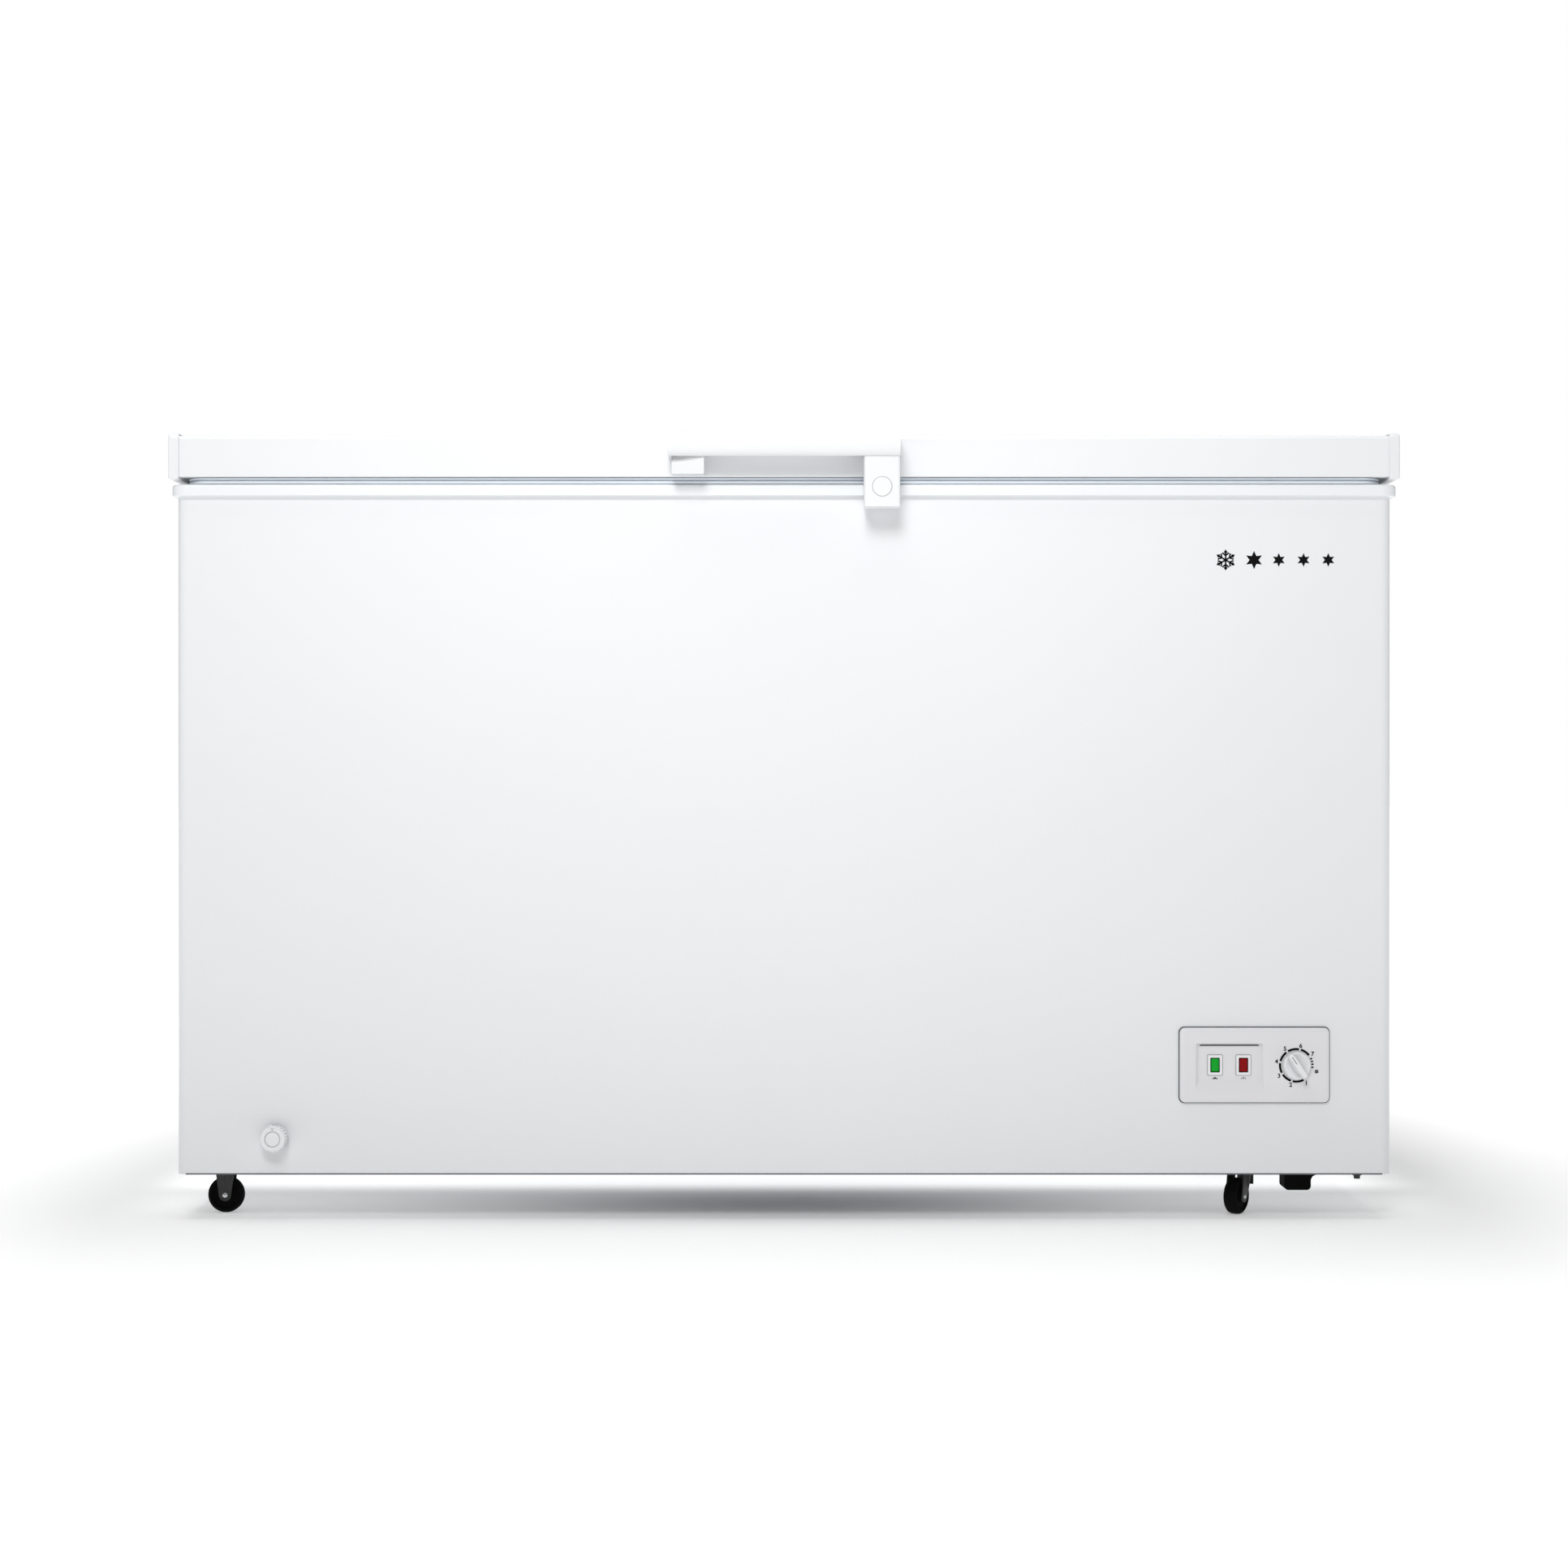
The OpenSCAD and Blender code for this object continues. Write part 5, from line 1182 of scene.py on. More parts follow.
@dataclass
class ControlPanel:
    """The panel with its two lamps and the thermostat's knob."""

    recess: Flat = (0.073, 0.048)
    recess_depth: float = 0.0036
    gap_shade: float = 0.0011
    rim: float = 0.0009
    recess_shadow: float = 0.0023
    bezel: Flat = (0.016, 0.022)
    knob_turn: float = 124.0
    scale_r: float = 0.0177
    scale_w: float = 0.0024
    number_r: float = 0.0219
    number_h: float = 0.0046
    panel: Box = box_of("control_panel")
    shell: Box = box_of("cabinet_shell")
    knob: Box = box_of("thermostat_knob")
    green: Box = box_of("running_lamp_lens")
    red: Box = box_of("power_lamp_lens")

    @property
    def recess_x(self) -> float:
        """Middle of the recess."""
        return (self.green.middle.x + self.red.middle.x) / 2

    def build_plate(self) -> None:
        """Makes the panel, its recess deep at the top and fading out below, and a dark outline round it as
        painted gap shadow.
        """
        face, wall = self.panel.low.y, self.shell.low.y
        x0, x1, z0, z1 = self.panel.low.x, self.panel.high.x, self.panel.low.z, self.panel.high.z
        sections = []
        for i in range(8):
            a = math.radians(90 * i / 7)
            pull = 0.0045 * (1 - math.sin(a))
            sections.append(((x0 + pull, z0 + pull), (x1 - pull, z1 - pull), 0.006 - pull,
                face + 0.0028 * (1 - math.cos(a))))
        sections.append(((x0, z0), (x1, z1), 0.006, wall))
        made = Shape().loft(sections, Axis.Y, 8)
        mid_z = self.panel.middle.z
        rx, rz = self.recess[0] / 2, self.recess[1] / 2
        steps = []
        for depth, side, foot, head in ((-0.001, -0.0012, 0.0, 0.0), (0.0, -0.001, 0.0, 0.0),
                (0.0005, 0.0, 0.004, 0.0), (0.0012, 0.0008, 0.0078, 0.0001), (0.0024, 0.0015, 0.0105, 0.0002),
                (0.003, 0.0024, 0.0125, 0.0005), (self.recess_depth, 0.004, 0.015, 0.0015)):
            steps.append(((self.recess_x - rx + side, mid_z - rz - 0.006 + foot),
                (self.recess_x + rx - side, mid_z + rz - head), 0.0025, face + depth))
        made.carve(Shape().loft(steps, Axis.Y, 5))
        made.piece("panel_plate", PANEL_PLASTIC, "cabinet", ["control_panel"], crease=30)
        # Painted gap shadow: a dark plate a little larger than the panel shows as a dark outline round it.
        gap_shade = round_rect((x0 - self.gap_shade, z0 - self.gap_shade), (x1 + self.gap_shade, z1 + self.gap_shade), 0.0065, 8)
        Shape().plate(gap_shade, Axis.Y, wall - 0.0006, wall + 0.0002).piece("panel_gap_shade", GREY_PRINT_AND_SHADE, "cabinet")

    def build_lamps(self) -> None:
        """Makes each lamp's bezel and lens, a dark ring round each bezel as painted gap shadow, and a dark
        strip under the recess's top edge as its painted shadow.
        """
        floor = self.panel.low.y + self.recess_depth
        edges, rims = Shape(), Shape()
        for lens, name, finish, node in ((self.green, "green", GREEN_LENS, "running_lamp_lens"),
                (self.red, "red", RED_LENS, "power_lamp_lens")):
            x, z = lens.middle.x, lens.middle.z
            w, h = self.bezel[0] / 2, self.bezel[1] / 2
            lw, lh = lens.size.x / 2, lens.size.z / 2
            bezel = Shape().loft([((x - w + p, z - h + p), (x + w - p, z + h - p), 0.001, floor - d)
                for p, d in ((0.0, -0.002), (0.0, 0.0007), (0.0003, 0.0011), (0.0008, 0.0012))], Axis.Y, 4)
            window = Shape().loft([((x - lw - p, z - lh - p), (x + lw + p, z + lh + p), 0.0008, floor - d)
                for p, d in ((0.0001, -0.0015), (0.0001, 0.0008), (0.0006, 0.0014))], Axis.Y, 3)
            bezel.carve(window)
            # Painted gap shadow: a dark ring a little larger than the bezel, just behind it.
            edges.plate(round_rect((x - w - 0.0004, z - h - 0.0004), (x + w + 0.0004, z + h + 0.0004),
                0.0012, 4), Axis.Y, floor - 0.0001, floor)
            rims.plate(round_rect((x - lw, z - lh), (x + lw, z + lh), 0.0007, 3), Axis.Y, floor - 0.0002,
                floor + 0.0012)
            lw, lh = lw - self.rim, lh - self.rim
            replaced = ["lamp_housings"] if name == "green" else []
            bezel.piece(f"lamp_bezel_{name}", DIAL_PLASTIC, "cabinet", replaced)
            cover = [(0.0, -0.006), (0.0, 0.0004), (0.0004, 0.0008), (0.0016, 0.001)]
            Shape().loft([((x - lw + p, z - lh + p), (x + lw - p, z + lh - p), 0.0008, floor - d)
                for p, d in cover], Axis.Y, 3).piece(f"lamp_lens_{name}", finish, "cabinet", [node])
        # Painted shadow: a dark strip along the foot of the recess's top wall.
        reach, recess_shadow = self.recess[0] / 2 - 0.0022, self.panel.middle.z + self.recess[1] / 2 - 0.001
        edges.plate(round_rect((self.recess_x - reach, recess_shadow - self.recess_shadow), (self.recess_x + reach, recess_shadow),
            0.0007, 4), Axis.Y, floor - 0.0001, floor)
        edges.piece("lamp_painted_shade", GREY_PRINT_AND_SHADE, "cabinet")
        rims.piece("lamp_rims", INK, "cabinet")

    def build_scale(self) -> None:
        """Prints the scale: arcs between the numbers, then dashes up to the coldest mark."""
        face = self.panel.low.y
        x, z = self.knob.middle.x, self.panel.middle.z
        numbers = {"1": -60.0, "2": -106.0, "3": -149.0, "4": -191.5, "5": -236.0, "6": -283.0, "7": -325.0}
        made = Shape()
        angles = list(numbers.values())
        spans = [(a - 3.5, b + 3.5) for a, b in zip(angles, angles[1:])]
        spans += [(a + 2.6, a - 2.6) for a in (24.0, 14.0, 4.0, -7.0)]
        for start, end in spans:
            steps = max(int(abs(end - start) / 4), 2)
            outer = arc((x, z), self.scale_r + self.scale_w / 2, start, end, steps)
            inner = arc((x, z), self.scale_r - self.scale_w / 2, end, start, steps)
            made.plate(outer + inner, Axis.Y, face - 0.0001, face)
        for digit, angle in numbers.items():
            spot = arc((x, z), self.number_r, angle, angle, 1)[0]
            made.add(printed_digit(digit, self.number_h, spot, face))
        frost = Badge().snowflake(arc((x, z), self.number_r + 0.0012, -17, -17, 1)[0], 0.0024, 0.0005, face)
        made.add(frost)
        made.piece("knob_scale", INK, "cabinet")

    def build_marks(self) -> None:
        """Prints a sign under each lamp: a snowflake for running, a broken ring for power."""
        face = self.panel.low.y + self.recess_depth + 0.00005
        z = self.green.middle.z - 0.0162
        running = Badge().snowflake((self.green.middle.x, z), 0.0034, 0.0008, face)
        x = self.red.middle.x
        ring = arc((x, z), 0.003, 120, 420, 28) + arc((x, z), 0.0022, 420, 120, 28)
        running.plate(ring, Axis.Y, face - 0.0001, face)
        running.plate([(x - 0.0004, z + 0.0004), (x + 0.0004, z + 0.0004), (x + 0.0004, z + 0.0036),
            (x - 0.0004, z + 0.0036)], Axis.Y, face - 0.0001, face)
        running.piece("lamp_signs", INK, "cabinet")

    def build_knob(self) -> None:
        """Makes the knob: a dished disc with a grip bar across it and a pointer line."""
        x, z = self.knob.middle.x, self.knob.middle.z
        front, back = self.knob.low.y, self.knob.high.y
        r = self.knob.size.x / 2
        depth = back - front
        profile = [(0.0, 0.0112), (r * 0.45, 0.0104), (r * 0.7, 0.0088), (r * 0.84, 0.0073),
            (r * 0.9, 0.0069), (r * 0.93, 0.0071), (r * 0.965, 0.0079), (r * 0.985, 0.009), (r, 0.0102),
            (r, depth)]
        disc = Shape().turned(profile, (x, front, z), Axis.Y, 96)
        half, wide = r * 0.985, 0.0029
        bar = Shape()
        rows = []
        for at, pull, swell in ((0.0, 0.0016, -0.0008), (0.0003, 0.0007, -0.0003), (0.0011, 0.0, 0.0),
                (0.006, -0.0, 0.0006), (0.0088, -0.0, 0.0014), (0.0105, 0.0002, 0.0022)):
            rows.append([Axis.Y.point(u, v, front + at) for u, v in
                round_rect((-half + pull, -wide - swell), (half - pull, wide + swell), 0.0016, 5)])
        bar.skin(rows)
        turn = Matrix.Translation((x, 0, z)) @ Matrix.Rotation(math.radians(-self.knob_turn), 4, "Y")
        disc.carve(bar.move(turn), how=Carve.JOIN)
        disc.piece("dial_knob", DIAL_PLASTIC, "knob", ["thermostat_knob"], crease=30)
        line = Shape().plate(round_rect((0.003, -0.00035), (half - 0.0025, 0.00035), 0.0003, 3), Axis.Y,
            front - 0.0001, front + 0.0004)
        line.move(turn).piece("knob_pointer", GREY_PRINT_AND_SHADE, "knob")

    def build(self) -> None:
        """Makes the panel and everything on it."""
        self.build_plate()
        self.build_lamps()
        self.build_scale()
        self.build_marks()
        self.build_knob()
        dress(BLACK_PLASTIC, "thermostat")
        dress(STEEL, "thermostat_shaft")


def printed_digit(digit: str, height: float, spot: Flat, y: float) -> Shape:
    """A printed number facing the front.

    Args:
        digit: the number.
        height: its height.
        spot: its middle, in X and Z.
        y: the surface it is printed on.

    Returns:
        The printed shape.
    """
    curve = bpy.data.curves.new("digit", "FONT")
    curve.body = digit
    curve.size = height / 0.72
    curve.extrude = 0.00005
    curve.offset = 0.0002
    curve.resolution_u = 3
    text = bpy.data.objects.new("digit", curve)
    bpy.context.scene.collection.objects.link(text)
    mesh = settled(text)
    made = Shape()
    made.bm.from_mesh(mesh)
    bpy.data.objects.remove(text)
    points = [v.co for v in made.bm.verts]
    middle = [(min(p[i] for p in points) + max(p[i] for p in points)) / 2 for i in (0, 1)]
    stand = Matrix.Translation((spot[0], y - 0.00005, spot[1])) @ Matrix.Rotation(math.radians(90), 4, "X")
    return made.move(stand @ Matrix.Translation((-middle[0], -middle[1], 0)))


# ---- drain ---------------------------------------------------------------------------------------


@dataclass
class Drain:
    """The pull-out drain at the front and the plug in the tub's floor."""

    ribs: int = 26
    dial: Box = box_of("drain_dial")
    plug: Box = box_of("drain_plug")

    def build_dial(self) -> None:
        """Makes the ribbed dial with its smooth face and inner disc."""
        x, z = self.dial.middle.x, self.dial.middle.z
        front, depth = self.dial.low.y, self.dial.size.y
        r = self.dial.size.x / 2
        collar = Shape().turned([(r - 0.0022, 0.0024), (r - 0.0012, 0.0026), (r, 0.0036), (r, depth - 0.0008),
            (r - 0.0008, depth)], (x, front, z), Axis.Y, self.ribs * 8, (self.ribs, 0.0013))
        face = [(0.0001, 0.0006), (r * 0.5, 0.0006), (r * 0.53, 0.0014), (r * 0.57, 0.0014), (r * 0.59, 0.0),
            (r * 0.84, 0.0), (r * 0.875, 0.0003), (r * 0.9, 0.0011), (r * 0.905, 0.0032), (r * 0.905, 0.006)]
        made = Shape().turned(face, (x, front, z), Axis.Y, 96).carve(collar, how=Carve.JOIN)
        tip = z + r * 0.8
        mark = Shape().plate([(x, z + r * 0.55), (x + 0.0016, tip), (x - 0.0016, tip)], Axis.Y,
            front - 0.001, front + 0.001)
        spout = Shape().turned([(0.0035, 0.0), (0.0035, 0.03)], (x, front + 0.011, z), Axis.Z, 32)
        bore = Shape().turned([(0.0091, 0.0026), (0.0091, 0.03)], (x, front, z), Axis.Y, 64)
        made.carve(mark, spout, bore)
        made.piece("drain_cap", DIAL_PLASTIC, "drain_dial", ["drain_dial"], crease=32)

    def build_plug(self) -> None:
        """Makes the rubber plug, with its pull ring."""
        x, y = self.plug.middle.x, self.plug.middle.y
        low = self.plug.low.z
        floor = low + 0.008
        profile = [(0.0095, 0.0), (0.0113, 0.0015), (0.0115, 0.008), (0.0185, 0.008), (0.0197, 0.0086),
            (0.02, 0.0098), (0.0192, 0.0108), (0.0165, 0.0111), (0.0155, 0.0102), (0.0085, 0.0102),
            (0.0062, 0.0112), (0.0054, 0.013), (0.0046, 0.0139), (0.002, 0.0142)]
        made = Shape().turned(profile, (x, y, low), Axis.Z, 64)
        ring_r = 0.0038
        ring = [Vector((x + ring_r * math.cos(a), y, floor + 0.0082 + 0.5 * ring_r * math.sin(a)))
            for a in (math.tau * i / 24 for i in range(24))]
        made.add(Shape().wire(ring, 0.0011, 8, wrap=True))
        made.piece("floor_plug", TYRE, "drain_plug", ["drain_plug"])

    def build(self) -> None:
        """Makes the drain's pieces."""
        self.build_dial()
        self.build_plug()
        dress(DIAL_PLASTIC, "drain_tube", "drain_sleeve")


# ---- castors -------------------------------------------------------------------------------------


@dataclass
class Castors:
    """Two fixed rollers at the left, two swivel castors at the right, and the support foot."""

    trail: float = 0.016
    front_turn: float = -34.0
    rear_turn: float = -35.0
    cheek: float = 0.002
    gap: float = 0.001
    plate: float = 0.002
    plate_half: float = 0.020
    flare: float = 0.007
    flare_drop: float = 0.0235
    bolt_right: float = 0.062
    axle_r: float = 0.0025
    brackets: Box = box_of("roller_brackets")
    plates: Box = box_of("swivel_plates")
    roller: Box = box_of("roller_wheel_front")
    rear_roller: Box = box_of("roller_wheel_rear")
    foot: Box = box_of("support_foot")

    @property
    def radius(self) -> float:
        """Radius of the wheels."""
        return self.roller.size.z / 2

    @property
    def width(self) -> float:
        """Width of the wheels."""
        return self.roller.size.y

    @property
    def places(self) -> Iterator[tuple[str, float, float]]:
        """Each castor row's name, its Y and its swivel's resting direction."""
        yield "front", self.roller.middle.y, self.front_turn
        yield "rear", self.rear_roller.middle.y, self.rear_turn

    def wheel(self) -> Shape:
        """A wheel at the origin with its axle along Y: tyre, dished web and hub."""
        r, w = self.radius, self.width / 2
        half = [(self.axle_r + 0.00005, w), (self.axle_r + 0.0028, w), (self.axle_r + 0.0034, w - 0.0006),
            (self.axle_r + 0.0038, w - 0.002), (r - 0.0062, w - 0.0024), (r - 0.0056, w - 0.0018),
            (r - 0.0046, w - 0.0004), (r - 0.0036, w), (r - 0.0026, w - 0.0002), (r - 0.0009, w - 0.0016),
            (r - 0.0002, w - 0.0034), (r, w - 0.0052)]
        profile = half + [(radius, -at) for radius, at in reversed(half)]
        rings = []
        for radius, at in profile:
            rings.append([Axis.Y.point(radius * math.cos(a), radius * math.sin(a), at)
                for a in (math.tau * i / 72 for i in range(72))])
        return Shape().skin(rings, wrap=True)

    def cheek_outline(self, x: float, top: float, wide: float, end: float) -> list[Flat]:
        """A fork cheek's outline in (X, Z): wide at the top, round at the axle, which is at x.

        Args:
            x: the axle's place.
            top: height of the cheek's top.
            wide: half its width at the top.
            end: radius round the axle.

        Returns:
            The outline.
        """
        r = self.radius
        waist = top - 0.008
        lower = arc((x, r), end, 190, 350, 12)
        return lower + [(x * 0.4 + wide * 0.86, waist), (wide, top), (-wide, top),
            (x * 0.4 - wide * 0.86, waist)]

    def cheeks(self, x: float, top: float, wide: float) -> Shape:
        """Both cheeks of a fork, pressed with a rib and bored for the axle."""
        made = Shape()
        inner = self.width / 2 + self.gap
        outline = self.cheek_outline(x, top, wide, 0.0068)
        for side in (-1, 1):
            near, far = side * inner, side * (inner + self.cheek)
            made.add(Shape().plate(outline, Axis.Y, min(near, far), max(near, far)).soften(0.0006, 2, 40))
            rib_x = x * 0.55 - 0.0015
            rib = Shape().loft([((rib_x - 0.0016 + p, self.radius + 0.009 + p),
                (rib_x + 0.0016 - p, top - 0.002), 0.0015 - p, far + side * d)
                for p, d in ((0.0, -0.0004), (0.0003, 0.0005), (0.001, 0.0008))], Axis.Y, 4)
            made.add(rib)
        return made

    def rivet(self) -> Shape:
        """The axle along Y at the origin, with a domed head at each end."""
        half = self.width / 2 + self.gap + self.cheek
        head = [(r, half + out) for r, out in ((0.0004, 0.0013), (0.0014, 0.0011), (0.0023, 0.0006),
            (0.0028, 0.0001), (0.0028, -0.0001), (self.axle_r, -0.0001))]
        profile = head + [(r, -at) for r, at in reversed(head)]
        return Shape().turned(profile, (0, 0, 0), Axis.Y, 32)

    def top_plate(self, top: float) -> Shape:
        """A castor's top plate under the base, at the origin in X and Y."""
        h = self.plate_half
        made = Shape().loft([((-h, -h), (h, h), 0.004, z) for z in (top - self.plate, top)], Axis.Z, 5)
        return made.soften(0.0004, 2, 50)

    def build_rollers(self) -> None:
        """Makes the two fixed rollers."""
        x, top = self.roller.middle.x, self.brackets.high.z
        frames, axles = Shape(), Shape()
        for name, y, _ in self.places:
            spot = Matrix.Translation((x, y, 0))
            axle = Matrix.Translation((x, y, self.radius))
            bracket = self.top_plate(top).add(self.cheeks(0.0, top - self.plate + 0.0004, 0.0128))
            frames.add(bracket.move(spot))
            axles.add(self.rivet().move(axle))
            self.wheel().move(axle).piece(f"fixed_wheel_{name}", TYRE, f"roller_{name}",
                [f"roller_wheel_{name}"])
        frames.piece("roller_frames", FORK_STEEL, "cabinet", ["roller_brackets"])
        axles.piece("roller_rivets", STEEL, "cabinet", ["roller_axles"])

    def build_swivels(self) -> None:
        """Makes the two swivel castors at their resting directions."""
        x, top = self.plates.middle.x, self.plates.high.z
        race = top - self.plate
        crown = race - 0.0023
        frames = Shape()
        span = self.width / 2 + self.gap + self.cheek
        for name, y, turn in self.places:
            spot = Matrix.Translation((x, y, 0))
            pose = spot @ Matrix.Rotation(math.radians(turn), 4, "Z")
            axle = (pose @ Matrix.Translation((0, -self.trail, self.radius))
                @ Matrix.Rotation(math.pi / 2, 4, "Z"))
            pin = [(0.0142, 0.0), (0.0142, -0.0006), (0.0136, -0.0019), (0.0052, -0.002), (0.005, -0.0072),
                (0.0072, -0.0076), (0.0074, -0.0084), (0.0062, -0.009)]
            frames.add(self.top_plate(top).add(Shape().turned(pin, (0, 0, race), Axis.Z, 40)).move(spot))
            hood = Shape().skin([[Vector((px, py, z)) for px, py in self.hood_outline(grow, span)]
                for z, grow in ((crown - 0.003, 0.0004), (crown - 0.0008, 0.0004), (crown, -0.0008))])
            hood.carve(Shape().turned([(0.00505, -0.01), (0.00505, 0.002)], (0, 0, crown), Axis.Z, 40))
            cheeks = self.cheeks(self.trail, crown - 0.0004, 0.0124)
            hood.add(cheeks.move(Matrix.Rotation(-math.pi / 2, 4, "Z")))
            hood.add(Shape().block((-span + 0.001, 0.0064, 0.031), (span - 0.001, 0.0084, crown)))
            hood.move(pose).piece(f"swivel_frame_{name}", FORK_STEEL, f"fork_{name}", [f"swivel_fork_{name}"])
            self.rivet().move(axle).piece(f"swivel_rivet_{name}", STEEL, f"fork_{name}",
                [f"swivel_axle_{name}"])
            self.wheel().move(axle).piece(f"swivel_tyre_{name}", TYRE, f"castor_{name}",
                [f"swivel_wheel_{name}"])
        frames.piece("swivel_tops", FORK_STEEL, "cabinet", ["swivel_plates"])

    def hood_outline(self, grow: float, span: float) -> list[Flat]:
        """Outline of a swivel fork's hood in (X, Y): round over the pin, square over the cheeks."""
        r = 0.0128 + grow
        side = span + grow
        return arc((0, 0), r, 0, 180, 16) + [(-side, -0.004), (-side, -0.0125), (side, -0.0125),
            (side, -0.004)]

    def build_foot(self) -> None:
        """Makes the rubber foot with its flared root and worn lower edge."""
        low, high = self.foot.low, self.foot.high
        x0, x1 = low.x, high.x - self.flare
        outline = (arc((x1 - 0.0045, low.z + 0.0045), 0.0045, -90, 0, 6)
            + arc((x1 + self.flare, high.z - self.flare_drop), self.flare, 180, 90, 6)
            + [(high.x, high.z), (x0, high.z)]
            + arc((x0 + 0.0045, low.z + 0.0045), 0.0045, 180, 270, 6))
        made = Shape().plate(outline, Axis.Y, low.y, high.y).soften(0.0009, 3, 40)
        made.piece("rubber_foot", TYRE, "cabinet", ["support_foot"])
        head = [(0.0034, 0.0), (0.0036, 0.0004), (0.0036, 0.0036), (0.0052, 0.0038), (0.0052, 0.0052),
            (0.0025, 0.0053), (0.0025, 0.0205)]
        spot = (self.foot.middle.x + self.bolt_right, low.y, high.z - 0.0205)
        Shape().turned(head, spot, Axis.Z, 24).piece("skirt_bolt", FORK_STEEL, "cabinet")

    def build(self) -> None:
        """Makes everything the freezer stands on."""
        self.build_rollers()
        self.build_swivels()
        self.build_foot()


# ---- back ----------------------------------------------------------------------------------------


@dataclass
class Hinges:
    """The two counterbalanced hinges on the back."""

    coils: int = 9
    wire: float = 0.0011

    def build_spring(self, side: str) -> None:
        """Winds the spring under one plunger."""
        box = Box.of(f"hinge_spring_{side}")
        x, y = box.middle.x, box.middle.y
        r = box.size.x / 2 - self.wire
        low, high = box.low.z + self.wire, box.high.z - self.wire
        path = []
        count = (self.coils + 3) * 20
        for i in range(count + 1):
            turns = (self.coils + 3) * i / count
            share = min(max((turns - 1.5) / self.coils, 0.0), 1.0)
            ends = 2 * self.wire * 0.75
            z = low + ends * min(turns, 1.5) / 1.5 + (high - low - 2 * ends) * share
            z += ends * max(turns - self.coils - 1.5, 0.0) / 1.5
            path.append(Vector((x + r * math.cos(math.tau * turns), y + r * math.sin(math.tau * turns), z)))
        made = Shape().wire(path, self.wire, 8).piece(f"coil_spring_{side}", STEEL, None,
            [f"hinge_spring_{side}"])
        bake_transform(made)

    def build(self) -> None:
        """Dresses the hinges and winds their springs."""
        for side in ("left", "right"):
            dress(WHITE_ENAMEL, f"hinge_base_{side}")
            dress(STEEL, f"hinge_plunger_{side}")
            self.build_spring(side)
        dress(STEEL, "hinge_pins")
        dress(WHITE_ENAMEL, "hinge_arms")


class Machine:
    """What stands in the machine compartment."""

    def build(self) -> None:
        """Dresses the machine compartment's pieces."""
        dress(BLACK_ENAMEL, "compressor")
        dress(TYRE, "compressor_grommets")
        dress(BLACK_PLASTIC, "relay_cover")
        dress(COPPER, "filter_drier", "refrigerant_pipes")


# ---- basket --------------------------------------------------------------------------------------


@dataclass
class Basket:
    """The wire basket that hangs on the frame's ledge."""

    rim_r: float = 0.003
    wire_r: float = 0.0015
    pitch: float = 0.024
    corner: float = 0.022
    hook_x: float = 0.060
    hook_drop: float = 0.034
    half_depth: float = 0.243
    draft: float = 0.006
    bend: float = 0.012
    box: Box = box_of("basket_rim")
    floor: Box = box_of("basket_floor")

    def build(self) -> None:
        """Bends the rim, the hooks and the mesh of thin wires."""
        hook_top = self.box.high.z - self.rim_r
        rim_z = hook_top - self.hook_drop - self.rim_r + 0.0005
        hook_y = self.box.size.y / 2
        mid = self.box.middle
        half_w = self.box.size.x / 2 - self.rim_r
        half_d = self.half_depth - self.rim_r
        made = Shape()
        made.wire([Vector((x, y, rim_z)) for x, y in round_rect((mid.x - half_w, mid.y - half_d),
            (mid.x + half_w, mid.y + half_d), self.corner, 8)], self.rim_r, 12, wrap=True)
        inset = self.rim_r + self.wire_r * 0.6
        w, d = half_w - inset + 0.0015, half_d - inset + 0.0015
        floor = self.floor.low.z + self.wire_r
        draft = self.draft

        def crossing(count: int, reach: float) -> list[float]:
            """Places of the wires across a side."""
            return [-reach + 2 * reach * i / (count - 1) for i in range(count)]

        for x in crossing(int(2 * (w - self.corner) / self.pitch) + 1, w - self.corner):
            path = [(mid.x + x, mid.y - d, rim_z), (mid.x + x, mid.y - d + draft, floor),
                (mid.x + x, mid.y + d - draft, floor), (mid.x + x, mid.y + d, rim_z)]
            made.wire(bent_path(path, self.bend), self.wire_r, 6)
        for y in crossing(int(2 * (d - self.corner) / self.pitch) + 1, d - self.corner):
            path = [(mid.x - w, mid.y + y, rim_z), (mid.x - w + draft, mid.y + y, floor + 2 * self.wire_r),
                (mid.x + w - draft, mid.y + y, floor + 2 * self.wire_r), (mid.x + w, mid.y + y, rim_z)]
            made.wire(bent_path(path, self.bend), self.wire_r, 6)
        for share in (0.3, 0.65):
            z = floor + (rim_z - floor) * share
            pull = draft * (1 - share) + 2 * self.wire_r
            loop = round_rect((mid.x - w + pull, mid.y - d + pull), (mid.x + w - pull, mid.y + d - pull),
                self.corner, 6)
            made.wire([Vector((x, y, z)) for x, y in loop], self.wire_r, 6, wrap=True)
        for side in (-1, 1):
            for x in (-self.hook_x, self.hook_x):
                foot = (mid.x + x, mid.y + side * half_d, rim_z - 0.004)
                knee = (mid.x + x, mid.y + side * half_d, hook_top)
                tip = (mid.x + x, mid.y + side * (hook_y - self.rim_r * 0.2), hook_top)
                made.wire(bent_path([foot, knee, tip], 0.006), self.rim_r * 0.92, 10)
            grip = [(mid.x - self.hook_x, mid.y + side * half_d, hook_top - 0.004),
                (mid.x + self.hook_x, mid.y + side * half_d, hook_top - 0.004)]
            made.wire([Vector(p) for p in grip], self.rim_r * 0.8, 10)
        made.piece("round_wire_basket", COATED_WIRE, "basket", ["basket_rim", "basket_floor",
            "basket_sides"])


# ---- studio --------------------------------------------------------------------------------------


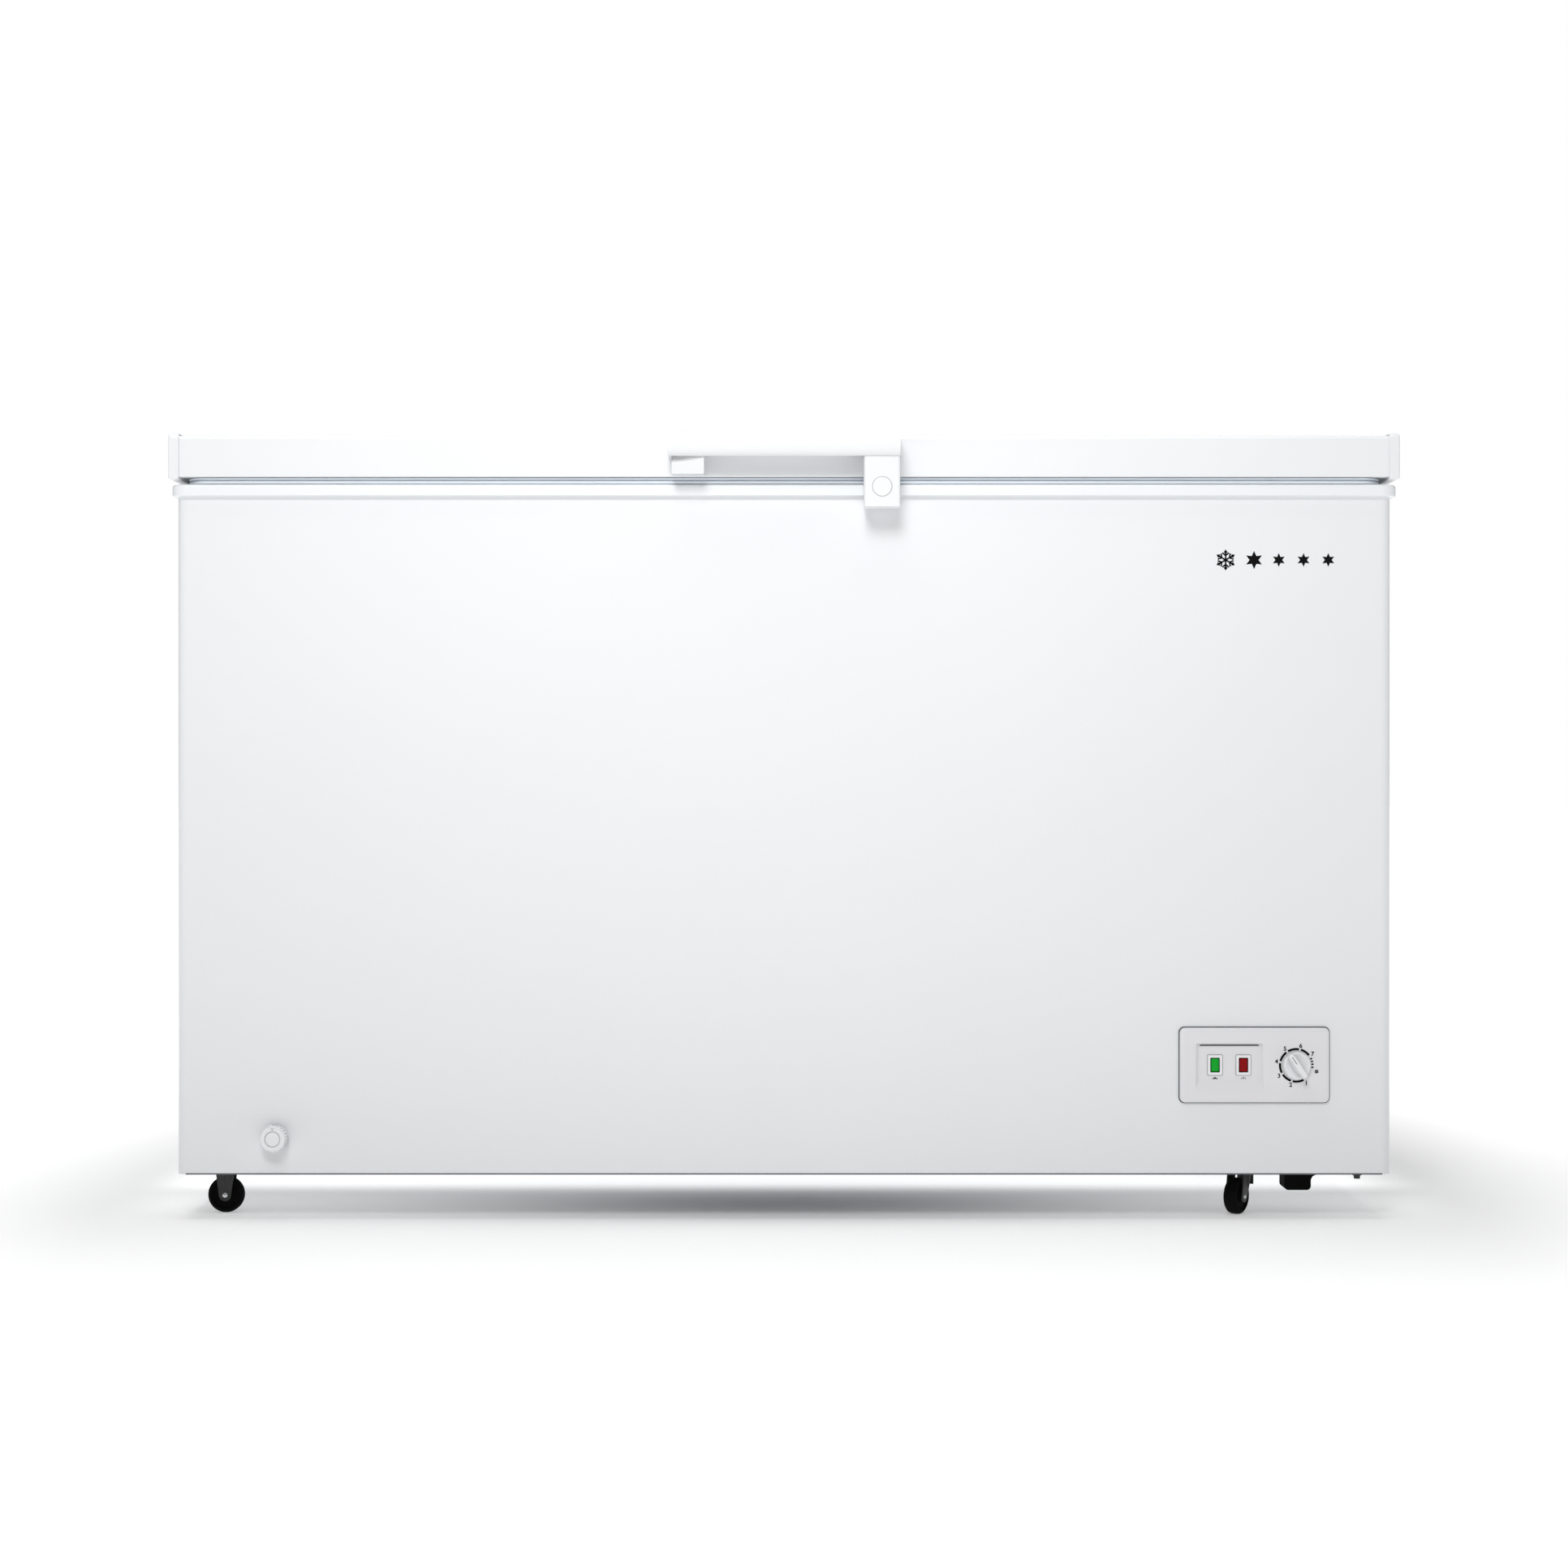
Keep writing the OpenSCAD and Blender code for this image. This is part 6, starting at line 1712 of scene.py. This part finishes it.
@dataclass
class Studio:
    """Camera, soft lights and a pale floor."""

    eye_height: float = 0.476
    distance: float = 3.2
    view_width: float = 1.7113
    sensor: float = 36.0
    daylight: float = 0.22
    shell: Box = box_of("cabinet_shell")

    def build_camera(self) -> None:
        """Stands the camera square to the front, level, a little above the middle."""
        data = bpy.data.cameras.new("camera")
        data.sensor_width = self.sensor
        data.lens = self.sensor * self.distance / self.view_width
        data.clip_end = 60.0
        camera = bpy.data.objects.new("camera", data)
        camera.location = (0.0, self.shell.low.y - self.distance, self.eye_height)
        camera.rotation_euler = (math.radians(90), 0.0, 0.0)
        bpy.context.scene.collection.objects.link(camera)
        bpy.context.scene.camera = camera

    def light(self, name: str, spot: Sequence[float], target: Sequence[float], size: float,
              power: float, cone: float | None = None) -> None:
        """Hangs a soft box, or a soft round spot that fades towards its edge.

        Args:
            name: the light's name.
            spot: where it hangs.
            target: the point it faces.
            size: a soft box's side, or a spot's radius.
            power: its power in watts.
            cone: a spot's full angle in degrees, or None for a soft box.
        """
        data = bpy.data.lights.new(name, "SPOT" if cone else "AREA")
        if cone:
            data.spot_size = math.radians(cone)
            data.spot_blend = 1.0
            data.shadow_soft_size = size
        else:
            data.shape = "SQUARE"
            data.size = size
        data.energy = power
        lamp = bpy.data.objects.new(name, data)
        lamp.location = spot
        lamp.rotation_euler = (Vector(target) - Vector(spot)).to_track_quat("-Z", "Y").to_euler()
        bpy.context.scene.collection.objects.link(lamp)

    def build_floor(self) -> None:
        """Lays the floor: glowing white further off, with a painted shadow band along the freezer's front,
        dimmest in the middle, and a painted glow under the freezer.
        """
        graph = Graph("studio_floor")
        x, y = graph.axis("X"), graph.axis("Y")
        span = (x * x).power(0.5)
        far = (x * x + (y * 1.3) * (y * 1.3)).power(0.5).above(1.5, 2.0)
        below = 1 - span.above(0.72, 0.12)
        # Painted shadow: a soft band of lower glow along the freezer's front, dimmest at the middle and
        # lifted towards the ends.
        line = graph.bell((y + 0.185) * (y + 0.185) * 62.0) * below
        glow_in_shadow = 0.44 - graph.bell(x * x * 4.5) * 0.43
        near = (1 - line) * (span.above(0.85, 0.3) * 0.17 + 0.2) + line * glow_in_shadow
        # Painted light: the floor under and just behind the freezer glows, where shade would fall.
        near += y.above(-0.06, 0.1) * below * 0.45
        glow = far * 0.92 + (1 - far) * near
        graph.feed(graph.shader.inputs["Base Color"], graph.mix(graph.noise(0.6, 3.0), (0.84, 0.84, 0.84),
            (0.86, 0.86, 0.86)))
        graph.feed(graph.shader.inputs["Emission Color"], graph.mix(glow, (0.0, 0.0, 0.0), (1.0, 1.0, 1.0)))
        graph.feed(graph.shader.inputs["Emission Strength"], 1.0)
        graph.feed(graph.shader.inputs["Roughness"], 0.9)
        graph.feed(graph.shader.inputs["Specular IOR Level"], 0.1)
        floor = Shape().loft([((-40.0, -12.0), (40.0, 60.0), 2.0, z) for z in (-0.02, 0.0)]).loose()
        floor.name = "studio_floor"
        floor.data.materials.append(graph.material)

    def build_world(self) -> None:
        """Surrounds the scene with soft light in front of a white background."""
        world = bpy.data.worlds.new("studio")
        world.use_nodes = True
        nodes, links = world.node_tree.nodes, world.node_tree.links
        soft = nodes["Background"]
        soft.inputs["Color"].default_value = (1.0, 1.0, 1.0, 1.0)
        soft.inputs["Strength"].default_value = self.daylight
        white = nodes.new("ShaderNodeBackground")
        blend = nodes.new("ShaderNodeMixShader")
        links.new(nodes.new("ShaderNodeLightPath").outputs["Is Camera Ray"], blend.inputs["Fac"])
        links.new(soft.outputs["Background"], blend.inputs[1])
        links.new(white.outputs["Background"], blend.inputs[2])
        white.inputs["Color"].default_value = (1.0, 1.0, 1.0, 1.0)
        links.new(blend.outputs["Shader"], nodes["World Output"].inputs["Surface"])
        bpy.context.scene.world = world

    def build(self) -> None:
        """Sets the whole studio."""
        bpy.context.scene.view_settings.view_transform = "Standard"
        self.build_world()
        self.build_camera()
        self.build_floor()
        self.light("key", (-0.4, -3.2, 2.9), (-0.08, -0.3, 1.03), 0.8, 360.0, 43.0)
        self.light("top", (-0.2, -0.2, 3.4), (0.0, -0.1, 0.0), 3.0, 60.0)


def main() -> None:
    """Builds the freezer's sub-assemblies in order, then the studio."""
    logging.basicConfig(level=logging.INFO, format="%(name)s: %(message)s")
    for assembly in (Cabinet(), TopFrame(), Tub(), Lid(), Handle(), ControlPanel(), Drain(), Castors(),
            Hinges(), Machine(), Basket(), Studio()):
        log.info("building %s", type(assembly).__name__)
        assembly.build()


if __name__ == "__main__":
    main()
